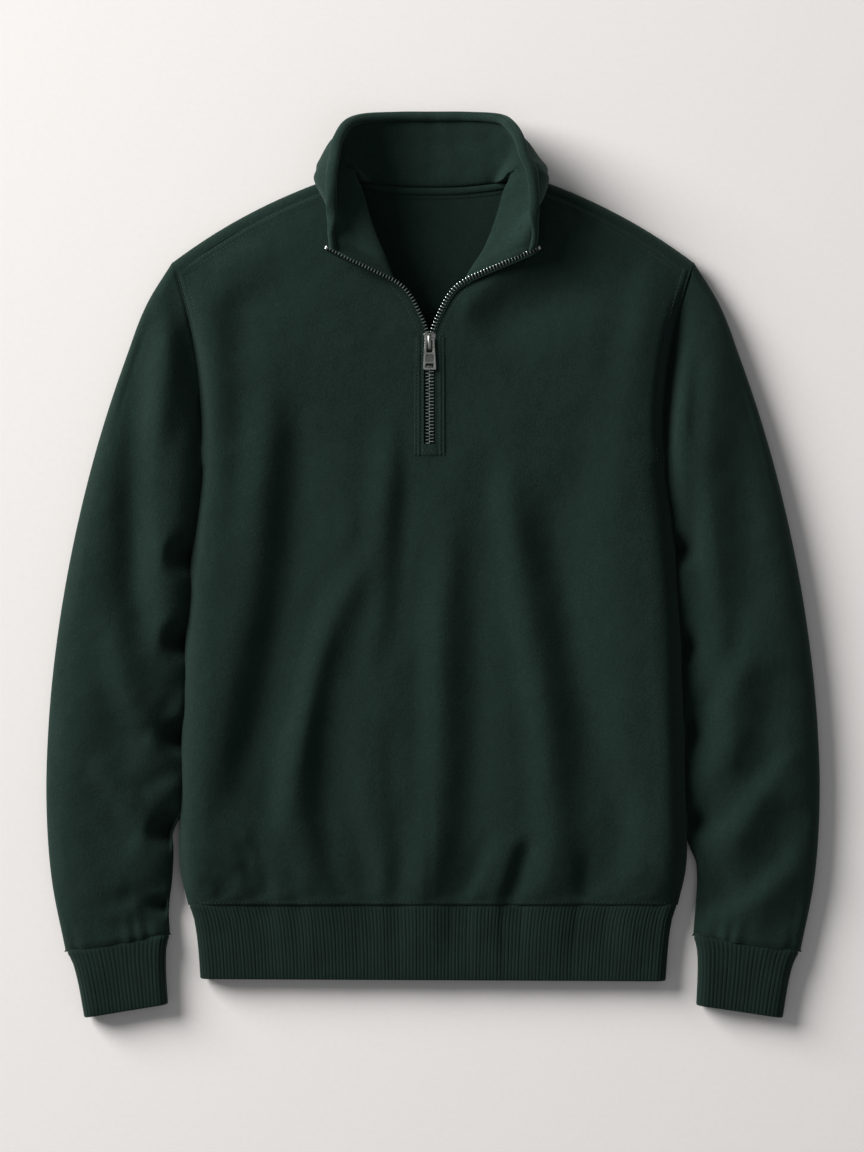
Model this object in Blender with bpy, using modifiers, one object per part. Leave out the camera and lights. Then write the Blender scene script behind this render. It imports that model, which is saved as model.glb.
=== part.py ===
"""Quarter-zip fleece pullover, laid flat: front and back panels, set-in sleeves, ribbed hem and cuffs,
a double standing collar and a metal zip. Metres, +Z up from the surface it lies on, collar towards +Y."""

import math
from collections import namedtuple

import bmesh
import bpy
import numpy as np

# Driving dimensions
FLEECE = 0.0022  # thickness of the single cloth
RIB = 0.0034  # thickness of the doubled rib cloth
RIB_RELIEF = 0.0005  # how far a rib stands out
RIB_PITCH = 0.0031
SEAM_GAP = 0.0003
HEM_RIBS = 137
CUFF_RIBS = 26
SEAM_HEIGHT = 0.010  # of the side seams above the surface
EDGE_ROUND = 0.026  # width over which the front rolls down to the side seam
VALLEY = 0.045  # width over which the front slopes down to the armhole
TOP = 0.034  # height of the loft in the front
HEM_SEAM_Y = -0.296
HEM_END_Y = -0.3605
HEM_HALF = 0.2125
HEM_END_HALF = 0.2035
HEM_HEIGHT = 0.021
PIT = (-0.2035, 0.085)
SHOULDER_POINT = (-0.228, 0.266)
ARMHOLE_BOW = 0.0095
SHOULDER_ROLL = 0.010  # radius of the fold along the shoulder
NECK_ROLL = 0.008
ZIP_X = -0.003
ZIP_FOOT_Y = 0.1065
SLIDER_Y = 0.200
SLIT_HALF = 0.005
PLACKET_HALF = 0.0135
PLACKET_FOOT_Y = 0.0965
PLACKET_THICK = 0.0009
ZIP_TOP = 0.032  # height of the cloth beside the zip
COLLAR_THICK = 0.0046

Outline = namedtuple("Outline", "y half")
TORSO_SIDE = [
    Outline(-0.296, 0.2138),
    Outline(-0.268, 0.2168),
    Outline(-0.205, 0.2160),
    Outline(-0.112, 0.2135),
    Outline(-0.018, 0.2100),
    Outline(0.050, 0.2062),
    Outline(0.085, 0.2035),
]
SLEEVE_OUTSIDE = [
    Outline(-0.337, 0.3212),
    Outline(-0.274, 0.3335),
    Outline(-0.204, 0.3382),
    Outline(-0.134, 0.3360),
    Outline(-0.047, 0.3265),
    Outline(0.041, 0.3100),
    Outline(0.111, 0.2920),
    Outline(0.181, 0.2690),
    Outline(0.233, 0.2485),
    Outline(0.266, 0.2280),
]

Height = namedtuple("Height", "at z")
FRONT_HEIGHT = [  # along the body, by y
    Height(-0.296, 0.0225),
    Height(-0.280, 0.0262),
    Height(-0.250, 0.0308),
    Height(-0.200, 0.0335),
    Height(0.085, TOP),
]
CROWN_HEIGHT = [  # from the armpit's row, 0, to the shoulder seam, 1
    Height(0.00, TOP),
    Height(0.45, 0.0335),
    Height(0.70, 0.0320),
    Height(0.86, 0.0285),
    Height(0.95, 0.0240),
    Height(1.00, 2 * SHOULDER_ROLL),
]

# The zip's line on the left half, from the slider to the collar's corner. The right half mirrors it.
ZipPoint = namedtuple("ZipPoint", "x y z")
ZIP_LINE = [
    ZipPoint(-0.0062, 0.2045, 0.0326),
    ZipPoint(-0.0092, 0.2130, 0.0326),
    ZipPoint(-0.0134, 0.2220, 0.0326),
    ZipPoint(-0.0199, 0.2345, 0.0327),
    ZipPoint(-0.0268, 0.2430, 0.0330),
    ZipPoint(-0.0350, 0.2488, 0.0345),
    ZipPoint(-0.0469, 0.2545, 0.0378),
    ZipPoint(-0.0620, 0.2615, 0.0420),
    ZipPoint(-0.0780, 0.2690, 0.0462),
    ZipPoint(-0.0915, 0.2762, 0.0500),
]
ZIP_NECK = 5  # the point of the zip's line at the neck seam
ZIP_WIDE = 0.0030

# Rows of the front above the armpit: `side` is the share of the armhole at the row's other end
SlitRow = namedtuple("SlitRow", "y side")
SLIT_ROWS = [
    SlitRow(PLACKET_FOOT_Y, 0.04),
    SlitRow(ZIP_FOOT_Y, 0.09),
    SlitRow(0.130, 0.16),
    SlitRow(0.155, 0.24),
    SlitRow(0.180, 0.32),
    SlitRow(0.202, 0.39),
]
ZIP_ROW_SIDES = (0.45, 0.51, 0.57, 0.63)  # rows that end at the zip line's points before the neck
NeckRow = namedtuple("NeckRow", "x y z side")
NECK_ROWS = [
    NeckRow(-0.0365, 0.2545, 0.0308, 0.69),
    NeckRow(-0.0445, 0.2740, 0.0296, 0.76),
    NeckRow(-0.0530, 0.2940, 0.0270, 0.83),
    NeckRow(-0.0600, 0.3120, 0.0235, 0.89),
    NeckRow(-0.0660, 0.3270, 0.0195, 0.95),
    NeckRow(-0.0700, 0.3375, 2 * NECK_ROLL, 1.00),
]
SHOULDER_BOW = 0.0075
BODY_ROWS = (-0.290, -0.275, -0.252, -0.226, -0.196, -0.164, -0.132, -0.100, -0.068, -0.036, -0.004, 0.026,
             0.052, 0.072)
FRONT_SHARES = (0, 0.008, 0.032, 0.072, 0.125, 0.20, 0.28, 0.37, 0.46, 0.55, 0.64, 0.73, 0.82, 0.91, 1.0)

Fold = namedtuple("Fold", "top_x top_y mid_x mid_y low_x low_y width depth")
FRONT_FOLDS = [  # troughs go down, ridges up
    Fold(-0.120, 0.175, -0.131, 0.000, -0.181, -0.235, 0.017, -0.0068),
    Fold(-0.072, -0.030, -0.098, -0.165, -0.074, -0.320, 0.013, -0.0052),
    Fold(-0.026, 0.090, -0.033, -0.010, -0.043, -0.110, 0.013, -0.0022),
    Fold(0.026, 0.075, 0.036, -0.080, 0.010, -0.330, 0.016, -0.0034),
    Fold(0.088, 0.075, 0.124, -0.115, 0.128, -0.330, 0.016, -0.0048),
    Fold(-0.170, -0.232, -0.160, -0.262, -0.149, -0.320, 0.008, -0.0034),
    Fold(0.080, -0.235, 0.073, -0.265, 0.064, -0.320, 0.008, -0.0034),
    Fold(0.134, -0.245, 0.132, -0.275, 0.130, -0.320, 0.008, -0.0026),
    Fold(-0.034, 0.150, -0.078, -0.010, -0.128, -0.230, 0.017, 0.0030),
    Fold(0.002, 0.020, -0.001, -0.130, -0.024, -0.310, 0.015, 0.0026),
    Fold(0.052, 0.110, 0.086, -0.080, 0.092, -0.290, 0.016, 0.0028),
    Fold(-0.152, 0.215, -0.156, 0.130, -0.166, 0.040, 0.020, 0.0022),
    Fold(0.160, 0.120, 0.165, -0.020, 0.172, -0.180, 0.022, 0.0018),
]
FOLD_FADE = 0.22  # share of a fold's length over which it fades at each end

# Sleeve rings: the outer edge's y, the inner edge, the height, and how deep the inner edge is creased
Ring = namedtuple("Ring", "out_y in_x in_y height crease")
SLEEVE_LEFT = [
    Ring(0.266, PIT[0], PIT[1], 0.0250, 0.0),
    Ring(0.258, -0.2058, 0.0825, 0.0282, 0.0),
    Ring(0.243, -0.2072, 0.0770, 0.0318, 0.0),
    Ring(0.219, -0.2088, 0.0670, 0.0345, 0.0),
    Ring(0.188, -0.2096, 0.0540, 0.0360, 0.001),
    Ring(0.153, -0.2112, 0.0370, 0.0362, 0.004),
    Ring(0.118, -0.2150, 0.0170, 0.0358, 0.006),
    Ring(0.084, -0.2128, -0.0060, 0.0354, 0.001),
    Ring(0.052, -0.2125, -0.0270, 0.0350, 0.0),
    Ring(0.022, -0.2150, -0.0450, 0.0346, 0.002),
    Ring(-0.008, -0.2205, -0.0640, 0.0342, 0.005),
    Ring(-0.040, -0.2178, -0.0880, 0.0338, 0.001),
    Ring(-0.072, -0.2160, -0.1120, 0.0334, 0.0),
    Ring(-0.104, -0.2205, -0.1330, 0.0330, 0.004),
    Ring(-0.134, -0.2240, -0.1520, 0.0326, 0.005),
    Ring(-0.163, -0.2235, -0.1720, 0.0320, 0.001),
    Ring(-0.190, -0.2240, -0.1930, 0.0314, 0.0),
    Ring(-0.220, -0.2290, -0.2240, 0.0306, 0.007),
    Ring(-0.250, -0.2270, -0.2470, 0.0298, 0.001),
    Ring(-0.280, -0.2280, -0.2730, 0.0284, 0.001),
    Ring(-0.308, -0.2310, -0.2990, 0.0262, 0.004),
    Ring(-0.337, -0.2300, -0.3220, 0.0236, 0.0),
]
SLEEVE_RIGHT = [
    Ring(0.266, PIT[0], PIT[1], 0.0250, 0.0),
    Ring(0.258, -0.2065, 0.0825, 0.0282, 0.0),
    Ring(0.243, -0.2085, 0.0770, 0.0318, 0.0),
    Ring(0.219, -0.2110, 0.0670, 0.0345, 0.0),
    Ring(0.188, -0.2145, 0.0540, 0.0360, 0.001),
    Ring(0.153, -0.2180, 0.0370, 0.0362, 0.004),
    Ring(0.118, -0.2220, 0.0160, 0.0358, 0.006),
    Ring(0.084, -0.2180, -0.0080, 0.0354, 0.001),
    Ring(0.052, -0.2155, -0.0280, 0.0350, 0.0),
    Ring(0.022, -0.2195, -0.0470, 0.0346, 0.002),
    Ring(-0.008, -0.2240, -0.0650, 0.0342, 0.005),
    Ring(-0.040, -0.2205, -0.0880, 0.0338, 0.001),
    Ring(-0.072, -0.2195, -0.1120, 0.0334, 0.0),
    Ring(-0.104, -0.2235, -0.1350, 0.0330, 0.008),
    Ring(-0.134, -0.2270, -0.1600, 0.0326, 0.005),
    Ring(-0.163, -0.2300, -0.1850, 0.0320, 0.001),
    Ring(-0.190, -0.2275, -0.2060, 0.0314, 0.0),
    Ring(-0.220, -0.2300, -0.2280, 0.0306, 0.008),
    Ring(-0.250, -0.2300, -0.2500, 0.0298, 0.003),
    Ring(-0.280, -0.2310, -0.2740, 0.0284, 0.001),
    Ring(-0.308, -0.2295, -0.2970, 0.0262, 0.003),
    Ring(-0.337, -0.2275, -0.3230, 0.0236, 0.0),
]
SLEEVE_SPANS = (12, 8)  # across the top of a ring, and underneath
ARM_HEIGHT = 0.0250  # of the armhole seam

# A cuff's two ends, measured from the sleeve's last ring: how far down, and how far in from each edge
CuffEnd = namedtuple("CuffEnd", "down out_in in_in height")
CUFF_ENDS = [CuffEnd(SEAM_GAP, 0.0022, 0.0016, 0.0215), CuffEnd(0.0595, 0.0066, 0.0115, 0.0190)]

# The collar's middle surface from its front end to the back of the neck: seam, belly and top edge
Station = namedtuple("Station", "seam_x seam_y seam_z belly_x belly_y belly_z top_x top_y top_z")
COLLAR = [  # after its front end, which follows the zip's line
    Station(-0.0410, 0.2690, 0.0326, -0.0690, 0.2805, 0.0445, -0.0915, 0.2920, 0.0570),
    Station(-0.0500, 0.2900, 0.0303, -0.0795, 0.2990, 0.0450, -0.0880, 0.3090, 0.0660),
    Station(-0.0585, 0.3110, 0.0268, -0.0905, 0.3170, 0.0430, -0.0855, 0.3270, 0.0700),
    Station(-0.0655, 0.3290, 0.0225, -0.0980, 0.3350, 0.0400, -0.0838, 0.3420, 0.0700),
    Station(-0.0735, 0.3405, 0.0180, -0.0970, 0.3440, 0.0385, -0.0830, 0.3500, 0.0695),
    Station(-0.0765, 0.3510, 0.0100, -0.0945, 0.3530, 0.0355, -0.0822, 0.3580, 0.0675),
    Station(-0.0690, 0.3417, 0.0030, -0.0865, 0.3645, 0.0295, -0.0803, 0.3715, 0.0610),
    Station(-0.0590, 0.3377, 0.0026, -0.0730, 0.3705, 0.0205, -0.0725, 0.3860, 0.0485),
    Station(-0.0440, 0.3354, 0.0026, -0.0540, 0.3705, 0.0130, -0.0595, 0.3933, 0.0340),
    Station(-0.0220, 0.3331, 0.0026, -0.0260, 0.3678, 0.0076, -0.0310, 0.3966, 0.0210),
    Station(0.0, 0.3325, 0.0026, 0.0, 0.3665, 0.0060, 0.0, 0.3972, 0.0165),
]
Band = namedtuple("Band", "share thick")
COLLAR_BANDS = [  # from the seam to the top edge, with the stitched roll along the top
    Band(0.0, 0.40),
    Band(0.06, 0.80),
    Band(0.18, 1.0),
    Band(0.38, 1.0),
    Band(0.58, 1.0),
    Band(0.76, 1.0),
    Band(0.87, 0.72),
    Band(0.94, 1.12),
    Band(1.0, 0.55),
]
COLLAR_SPANS = 20  # from the front end to the middle of the back

NECK_EDGE = [  # the back panel's neck edge in plan, from the middle out to the shoulder
    (0.0, 0.3320),
    (-0.022, 0.3325),
    (-0.044, 0.3346),
    (-0.058, 0.3364),
    (-0.065, 0.3376),
    (-0.0700, 0.3375),
]

Finish = namedtuple("Finish", "colour roughness metallic")
FLEECE_GREEN = Finish((0.012, 0.042, 0.030), 0.95, 0.0)
RIB_GREEN = Finish((0.009, 0.032, 0.023), 0.9, 0.0)
FACING_GREEN = Finish((0.016, 0.055, 0.040), 0.95, 0.0)
TAPE_GREEN = Finish((0.010, 0.034, 0.025), 0.8, 0.0)
NICKEL = Finish((0.42, 0.41, 0.39), 0.35, 1.0)


def material(name, finish):
    made = bpy.data.materials.new(name)
    made.use_nodes = True
    shader = made.node_tree.nodes["Principled BSDF"]
    shader.inputs["Base Color"].default_value = (*finish.colour, 1.0)
    shader.inputs["Roughness"].default_value = finish.roughness
    shader.inputs["Metallic"].default_value = finish.metallic
    return made


def add_object(name, mesh, finish):
    obj = bpy.data.objects.new(name, mesh)
    bpy.data.collections["pullover"].objects.link(obj)
    mesh.materials.clear()
    mesh.materials.append(material(name, finish))
    return obj


def smooth_step(x):
    x = min(max(x, 0.0), 1.0)
    return x * x * (3 - 2 * x)


def table_value(table, at):
    """The value at `at` of a smooth curve through a table of (at, value) rows, in rising order."""
    places = [row[0] for row in table]
    values = [row[1] for row in table]
    return float(smooth_curve(places, np.array(values)[:, None], [at])[0, 0])


def smooth_curve(places, values, at):
    """Rows of `values` given at `places`, read at each of `at` along a smooth curve through them."""
    places = np.asarray(places, float)
    values = np.asarray(values, float)
    steps = np.diff(places)
    slopes = np.diff(values, axis=0) / steps[:, None]
    tangents = np.vstack([slopes[:1], slopes, slopes[-1:]])
    weights = np.concatenate([[1.0], steps, [1.0]])
    before, after = weights[:-1, None], weights[1:, None]
    tangents = (tangents[:-1] * after + tangents[1:] * before) / (before + after)
    found = []
    for value in np.clip(at, places[0], places[-1]):
        k = min(int(np.searchsorted(places, value, side="right")) - 1, len(steps) - 1)
        t = (value - places[k]) / steps[k]
        found.append(
            (1 + 2 * t) * (1 - t) ** 2 * values[k]
            + t * (1 - t) ** 2 * steps[k] * tangents[k]
            + t * t * (3 - 2 * t) * values[k + 1]
            + t * t * (t - 1) * steps[k] * tangents[k + 1]
        )
    return np.array(found)


def zip_shift(y):
    """How far the right half's mirror moves so that the zip lies off the middle by ZIP_X."""
    return 2 * ZIP_X * (1 - smooth_step((y - 0.25) / 0.03))


def mirrored(point):
    return np.array([zip_shift(point[1]) - point[0], point[1], point[2]])


def grid_normals(points, closed=False):
    """Unit normals of a grid of points, rows by columns."""
    along = np.gradient(points, axis=0)
    if closed:
        wrapped = np.concatenate([points[:, -1:], points, points[:, :1]], axis=1)
        across = (wrapped[:, 2:] - wrapped[:, :-2]) / 2
    else:
        across = np.gradient(points, axis=1)
    normals = np.cross(across, along)
    return normals / np.linalg.norm(normals, axis=2, keepdims=True)


def wall(name, outer, inner, finish, present=None, closed=False):
    """A closed solid between two grids of points that share one layout. Cells not `present` are left open,
    and `closed` joins the last column to the first."""
    rows, columns = outer.shape[:2]
    spans = columns if closed else columns - 1
    if present is None:
        present = np.ones((rows - 1, spans), bool)
    bm = bmesh.new()
    made = {}

    def vertex(layer, j, i):
        key = (layer, j, i % columns)
        if key not in made:
            made[key] = bm.verts.new((outer, inner)[layer][j, i % columns])
        return made[key]

    def is_present(j, i):
        i = i % spans if closed else i
        return 0 <= j < rows - 1 and 0 <= i < spans and present[j, i]

    for j in range(rows - 1):
        for i in range(spans):
            if not present[j, i]:
                continue
            corners = [(j, i), (j, i + 1), (j + 1, i + 1), (j + 1, i)]
            beyond = [(j - 1, i), (j, i + 1), (j + 1, i), (j, i - 1)]
            bm.faces.new([vertex(0, *c) for c in corners])
            bm.faces.new([vertex(1, *c) for c in reversed(corners)])
            for k, other in enumerate(beyond):
                if is_present(*other):
                    continue
                a, b = corners[k], corners[(k + 1) % 4]
                bm.faces.new([vertex(0, *b), vertex(0, *a), vertex(1, *a), vertex(1, *b)])
    bmesh.ops.recalc_face_normals(bm, faces=bm.faces)
    mesh = bpy.data.meshes.new(name)
    bm.to_mesh(mesh)
    bm.free()
    return add_object(name, mesh, finish)


# Surfaces that the pieces share


def torso_half(y):
    return table_value(TORSO_SIDE, y)


def armhole_point(share, clear):
    """A point in plan of the left armhole, from the armpit, 0, to the shoulder point, 1, moved `clear`
    towards the body."""
    start, end = np.array(PIT), np.array(SHOULDER_POINT)
    along = end - start
    length = np.linalg.norm(along)
    towards_body = np.array([along[1], -along[0]]) / length
    return start + share * along + towards_body * (ARMHOLE_BOW * 4 * share * (1 - share) + clear)


ARMHOLE_LENGTH = math.dist(PIT, SHOULDER_POINT)
ARMHOLE_CURL = 0.024  # length over which the armhole's top rises from the armpit
SHOULDER_SHARE = 1 - SHOULDER_ROLL / ARMHOLE_LENGTH  # where the shoulder seam meets the armhole


def armhole_top(share):
    """Height of the armhole seam on the front, from the armpit to the shoulder seam."""
    from_pit = min(share * ARMHOLE_LENGTH / ARMHOLE_CURL, 1.0)
    rising = SEAM_HEIGHT + (ARM_HEIGHT - SEAM_HEIGHT) * math.sqrt(1 - (1 - from_pit) ** 2)
    to_shoulder = smooth_step((share - 0.72) / (SHOULDER_SHARE - 0.72))
    return rising + (2 * SHOULDER_ROLL - ARM_HEIGHT) * to_shoulder


def armhole_bottom(share):
    from_pit = min(share * ARMHOLE_LENGTH / SEAM_HEIGHT, 1.0)
    return SEAM_HEIGHT * (1 - math.sqrt(1 - (1 - from_pit) ** 2))


def fold_lift(x, y):
    """How far the folds raise or lower the front at a point."""
    lift = 0.0
    for fold in FRONT_FOLDS:
        t = (fold.top_y - y) / (fold.top_y - fold.low_y)
        if not 0 < t < 1:
            continue
        middle = (fold.top_y - fold.mid_y) / (fold.top_y - fold.low_y)
        bend = (fold.mid_x - fold.top_x - middle * (fold.low_x - fold.top_x)) / (middle * (middle - 1))
        spine = fold.top_x + t * (fold.low_x - fold.top_x) + bend * t * (t - 1)
        ends = smooth_step(t / FOLD_FADE) * smooth_step((1 - t) / FOLD_FADE)
        lift += fold.depth * ends * math.exp(-(((x - spine) / fold.width) ** 2))
    held_by_hem = 0.35 + 0.65 * smooth_step((y - HEM_SEAM_Y) / 0.030)
    held_by_zip = smooth_step((math.hypot(x - ZIP_X, max(0.0, PLACKET_FOOT_Y - y)) - PLACKET_HALF) / 0.020)
    return lift * held_by_hem * held_by_zip


def edge_rise(distance, roundness):
    """From 0 at an edge to 1 inside it: roundness 1 rolls down upright, 0 slopes down."""
    width = VALLEY + (EDGE_ROUND - VALLEY) * roundness
    short = 1 - min(distance / width, 1.0)
    return (1 - short * short) ** (1 - 0.5 * roundness)


def beside_zip(k, side):
    """The zip line's point k in plan, moved off the zip: -1 to the front panel, 1 to the collar."""
    before, after = ZIP_LINE[max(k - 1, 0)], ZIP_LINE[min(k + 1, len(ZIP_LINE) - 1)]
    along = np.array([after.x - before.x, after.y - before.y])
    across = np.array([along[1], -along[0]]) / np.linalg.norm(along)
    return np.array([ZIP_LINE[k].x, ZIP_LINE[k].y]) + across * side * (ZIP_WIDE / 2 + 1.8 * SEAM_GAP)


# Front

RowEnd = namedtuple("RowEnd", "side middle side_z middle_z crown roundness near_shoulder")


def front_row_ends():
    """The ends and heights of each row of the left half, from the hem to the shoulder."""
    ends = []
    slit = ZIP_X - SLIT_HALF
    seam_z = SEAM_HEIGHT + SEAM_GAP / 2
    for y in (HEM_SEAM_Y + SEAM_GAP / 2, *BODY_ROWS, PIT[1]):
        height = table_value(FRONT_HEIGHT, y)
        middle = height + (min(height, ZIP_TOP) - height) * smooth_step((y + 0.05) / 0.12)
        side = np.array([-torso_half(y), y])
        ends.append(RowEnd(side, np.array([slit, y]), seam_z, middle, height, 1.0, 0.0))
    upper = [(np.array([slit, row.y]), ZIP_TOP, row.side) for row in SLIT_ROWS]
    upper += [(beside_zip(k + 1, -1), ZIP_TOP - 0.0003 * k, side) for k, side in enumerate(ZIP_ROW_SIDES)]
    upper += [(np.array([row.x, row.y]), row.z, row.side) for row in NECK_ROWS]
    for middle, middle_z, side_share in upper:
        share = side_share * SHOULDER_SHARE
        side = armhole_point(share, SEAM_GAP / 2)
        roundness = 1 - smooth_step(share * ARMHOLE_LENGTH / 0.028)
        near = smooth_step((side_share - 0.4) / 0.6)
        crown = table_value(CROWN_HEIGHT, side_share)
        ends.append(RowEnd(side, middle, armhole_top(share), middle_z, crown, roundness, near))
    return ends


def front_half(mirror):
    """Outer points of one half, rows from the hem to the shoulder seam, columns from the side to the zip.
    The left half, or its mirror with the folds of the right half."""
    rows = []
    for end in front_row_ends():
        across = end.middle - end.side
        length = np.linalg.norm(across)
        across = across / length
        upwards = np.array([-across[1], across[0]])
        placket = length - (PLACKET_HALF - SLIT_HALF)
        row = []
        for distance in [*(np.array(FRONT_SHARES) * placket), length]:
            q = distance / length
            bow = SHOULDER_BOW * end.near_shoulder * 4 * q * (1 - q)
            x, y = end.side + across * distance + upwards * bow
            to_middle = smooth_step((q - 0.45) / 0.5)
            to_middle += (q - to_middle) * end.near_shoulder
            level = end.crown + (end.middle_z - end.crown) * to_middle
            z = end.side_z + (level - end.side_z) * edge_rise(distance, end.roundness)
            if mirror:
                x = -x + zip_shift(end.middle[1]) * q
            row.append([x, y, z + fold_lift(x, y) * edge_rise(distance, 0.0)])
        rows.append(row)
    return np.array(rows)


def make_front():
    left, right = front_half(False), front_half(True)[:, ::-1]
    for half in (left, right):
        half[-1, :, 1] -= SEAM_GAP
    grid = np.concatenate([left, right], axis=1)
    rows, columns = grid.shape[:2]
    middle = columns // 2
    foot = 2 + len(BODY_ROWS) + 1  # the row at the zip's foot
    present = np.ones((rows - 1, columns - 1), bool)
    present[foot:, middle - 1] = False
    normals = np.concatenate([grid_normals(left), grid_normals(right)], axis=1)
    pit = 1 + len(BODY_ROWS)
    normals[: pit + 1, 0] = [-1, 0, 0]
    normals[: pit + 1, -1] = [1, 0, 0]
    normals[pit + 1:, [0, -1]] = [0, 0, 1]
    normals[-1] = [0, 0, 1]
    wall("front", grid, grid - FLEECE * normals, FLEECE_GREEN, present)
    return grid, foot


# Back

BACK_CURL = ((0.0, 1.0), (0.08, 0.60), (0.30, 0.28), (0.62, 0.07), (1.0, 0.0))  # (in, up) of a quarter turn
BACK_BODY_ROWS = (-0.268, -0.205, -0.112, -0.018, 0.050)
BACK_ARM_SHARES = (0.06, 0.16, 0.30, 0.46, 0.62, 0.78, 0.90)
BACK_SHOULDER_SHARES = (0.0, 0.012, 0.035, 0.065, 0.11, 0.22, 0.34, 0.47, 0.60, 0.73, 0.87, 1.0)
BACK_NECK_SPANS = 4
ROLL_ANGLES = (-45, 0, 35, 65, 90)


def shoulder_line(share, inside):
    """A point in plan on the left shoulder, from the armhole, 0, to the neck, 1, `inside` its outline."""
    start = armhole_point(SHOULDER_SHARE, SEAM_GAP / 2)
    tip = armhole_point(1.0, SEAM_GAP / 2)
    end = np.array([NECK_ROWS[-1].x, NECK_ROWS[-1].y])
    across = end - start
    upwards = np.array([-across[1], across[0]]) / np.linalg.norm(across)
    out = (tip - start) / np.linalg.norm(tip - start)
    out = out + (upwards - out) * smooth_step(share / 0.5)
    out = out / np.linalg.norm(out)
    radius = SHOULDER_ROLL + (NECK_ROLL - SHOULDER_ROLL) * share
    bow = SHOULDER_BOW * 4 * share * (1 - share)
    return start + share * across + upwards * bow + out * (radius - inside)


def back_top_row():
    """Plan of the left half's last flat row: along the shoulder, then along the neck to the middle."""
    points = []
    for share in BACK_SHOULDER_SHARES:
        radius = SHOULDER_ROLL + (NECK_ROLL - SHOULDER_ROLL) * share
        points.append(shoulder_line(share, radius))
    edge = np.array(NECK_EDGE[::-1])
    lengths = np.concatenate([[0], np.cumsum(np.linalg.norm(np.diff(edge, axis=0), axis=1))])
    places = np.linspace(0, lengths[-1], BACK_NECK_SPANS + 1)[1:]
    points.extend(smooth_curve(lengths, edge, places))
    return np.array(points)


def make_back():
    curl = len(BACK_CURL) - 1
    top = back_top_row()
    shoulder_columns = len(BACK_SHOULDER_SHARES)
    columns = len(top)
    rows = []
    for y in (HEM_SEAM_Y + SEAM_GAP / 2, *BACK_BODY_ROWS, PIT[1]):
        half = torso_half(y)
        curled = SEAM_HEIGHT - SEAM_GAP / 2
        row = [[-half + SEAM_HEIGHT * inward, y, curled * up] for inward, up in BACK_CURL[:-1]]
        row += [[x, y, 0.0] for x in np.linspace(-half + SEAM_HEIGHT, 0.0, columns - curl)]
        rows.append(row)
    pit_row = np.array(rows[-1])[:, :2]
    for arm in (*BACK_ARM_SHARES, 1.0):
        share = arm * SHOULDER_SHARE
        plan = pit_row * (1 - arm) + top * arm
        shift = armhole_point(share, SEAM_GAP / 2) - plan[0]
        lip = (SEAM_HEIGHT - SEAM_GAP / 2) * armhole_bottom(share) / SEAM_HEIGHT
        row = []
        for i, (x, y) in enumerate(plan):
            fade = 1 - smooth_step(i / (columns - 1))
            up = BACK_CURL[min(i, curl)][1]
            row.append([x + shift[0] * fade, y + shift[1] * fade, lip * up])
        rows.append(row)
    flat_rows = len(rows)
    for angle in ROLL_ANGLES:
        turn = math.radians(angle)
        row = []
        for i, (x, y, _z) in enumerate(rows[flat_rows - 1]):
            share = BACK_SHOULDER_SHARES[min(i, shoulder_columns - 1)]
            radius = SHOULDER_ROLL + (NECK_ROLL - SHOULDER_ROLL) * share
            plan = shoulder_line(share, radius * (1 - math.cos(turn))) if i < shoulder_columns else (x, y)
            row.append([*plan, radius * (1 + math.sin(turn))])
        rows.append(row)
    left = np.array(rows)
    grid = np.concatenate([left, left[:, -2::-1] * [-1, 1, 1]], axis=1)
    present = np.ones((grid.shape[0] - 1, grid.shape[1] - 1), bool)
    present[flat_rows - 1:, shoulder_columns - 1:grid.shape[1] - shoulder_columns] = False
    inner = grid + back_inward(grid, flat_rows, shoulder_columns) * FLEECE
    wall("back", grid, inner, FLEECE_GREEN, present)


def back_inward(grid, flat_rows, shoulder_columns):
    """The way from each outer point of the back to its inner one."""
    inward = np.zeros_like(grid)
    inward[..., 2] = 1.0
    last = grid.shape[1] - 1
    for i, (_along, up) in enumerate(BACK_CURL[:-1]):
        turn = math.atan2(math.sqrt(up), 1 - up)
        for j in range(2 + len(BACK_BODY_ROWS)):
            inward[j, i] = [math.sin(turn), 0.0, math.cos(turn)]
            inward[j, last - i] = [-math.sin(turn), 0.0, math.cos(turn)]
    across = shoulder_line(1.0, 0.0) - shoulder_line(0.0, 0.0)
    upwards = np.array([-across[1], across[0]]) / np.linalg.norm(across)
    for k, angle in enumerate(ROLL_ANGLES):
        turn = math.radians(angle)
        way = np.array([*(-upwards * math.cos(turn)), -math.sin(turn)])
        inward[flat_rows + k, :shoulder_columns] = way
        inward[flat_rows + k, last + 1 - shoulder_columns:] = way * [-1, 1, 1]
    return inward


# Sleeves, cuffs and hem


def sleeve_ring(ring, k):
    """Outer points of a ring of the left sleeve: across the top from the outer edge to the inner one, then
    back underneath."""
    out = np.array([-table_value(SLEEVE_OUTSIDE, ring.out_y), ring.out_y])
    across = np.array([ring.in_x, ring.in_y]) - out
    length = np.linalg.norm(across)
    to_sleeve = np.array([across[1], -across[0]]) / length
    near_arm = 1 - smooth_step(k / 5)
    points = []
    for way, spans in zip((1, -1), SLEEVE_SPANS):
        for step in range(spans):
            share = (1 - math.cos(math.pi * step / spans)) / 2
            share = share if way == 1 else 1 - share
            plan = out + across * share - to_sleeve * ARMHOLE_BOW * 4 * share * (1 - share) * near_arm
            points.append([*plan, ring_height(ring, share, length, way, near_arm)])
    return np.array(points)


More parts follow.
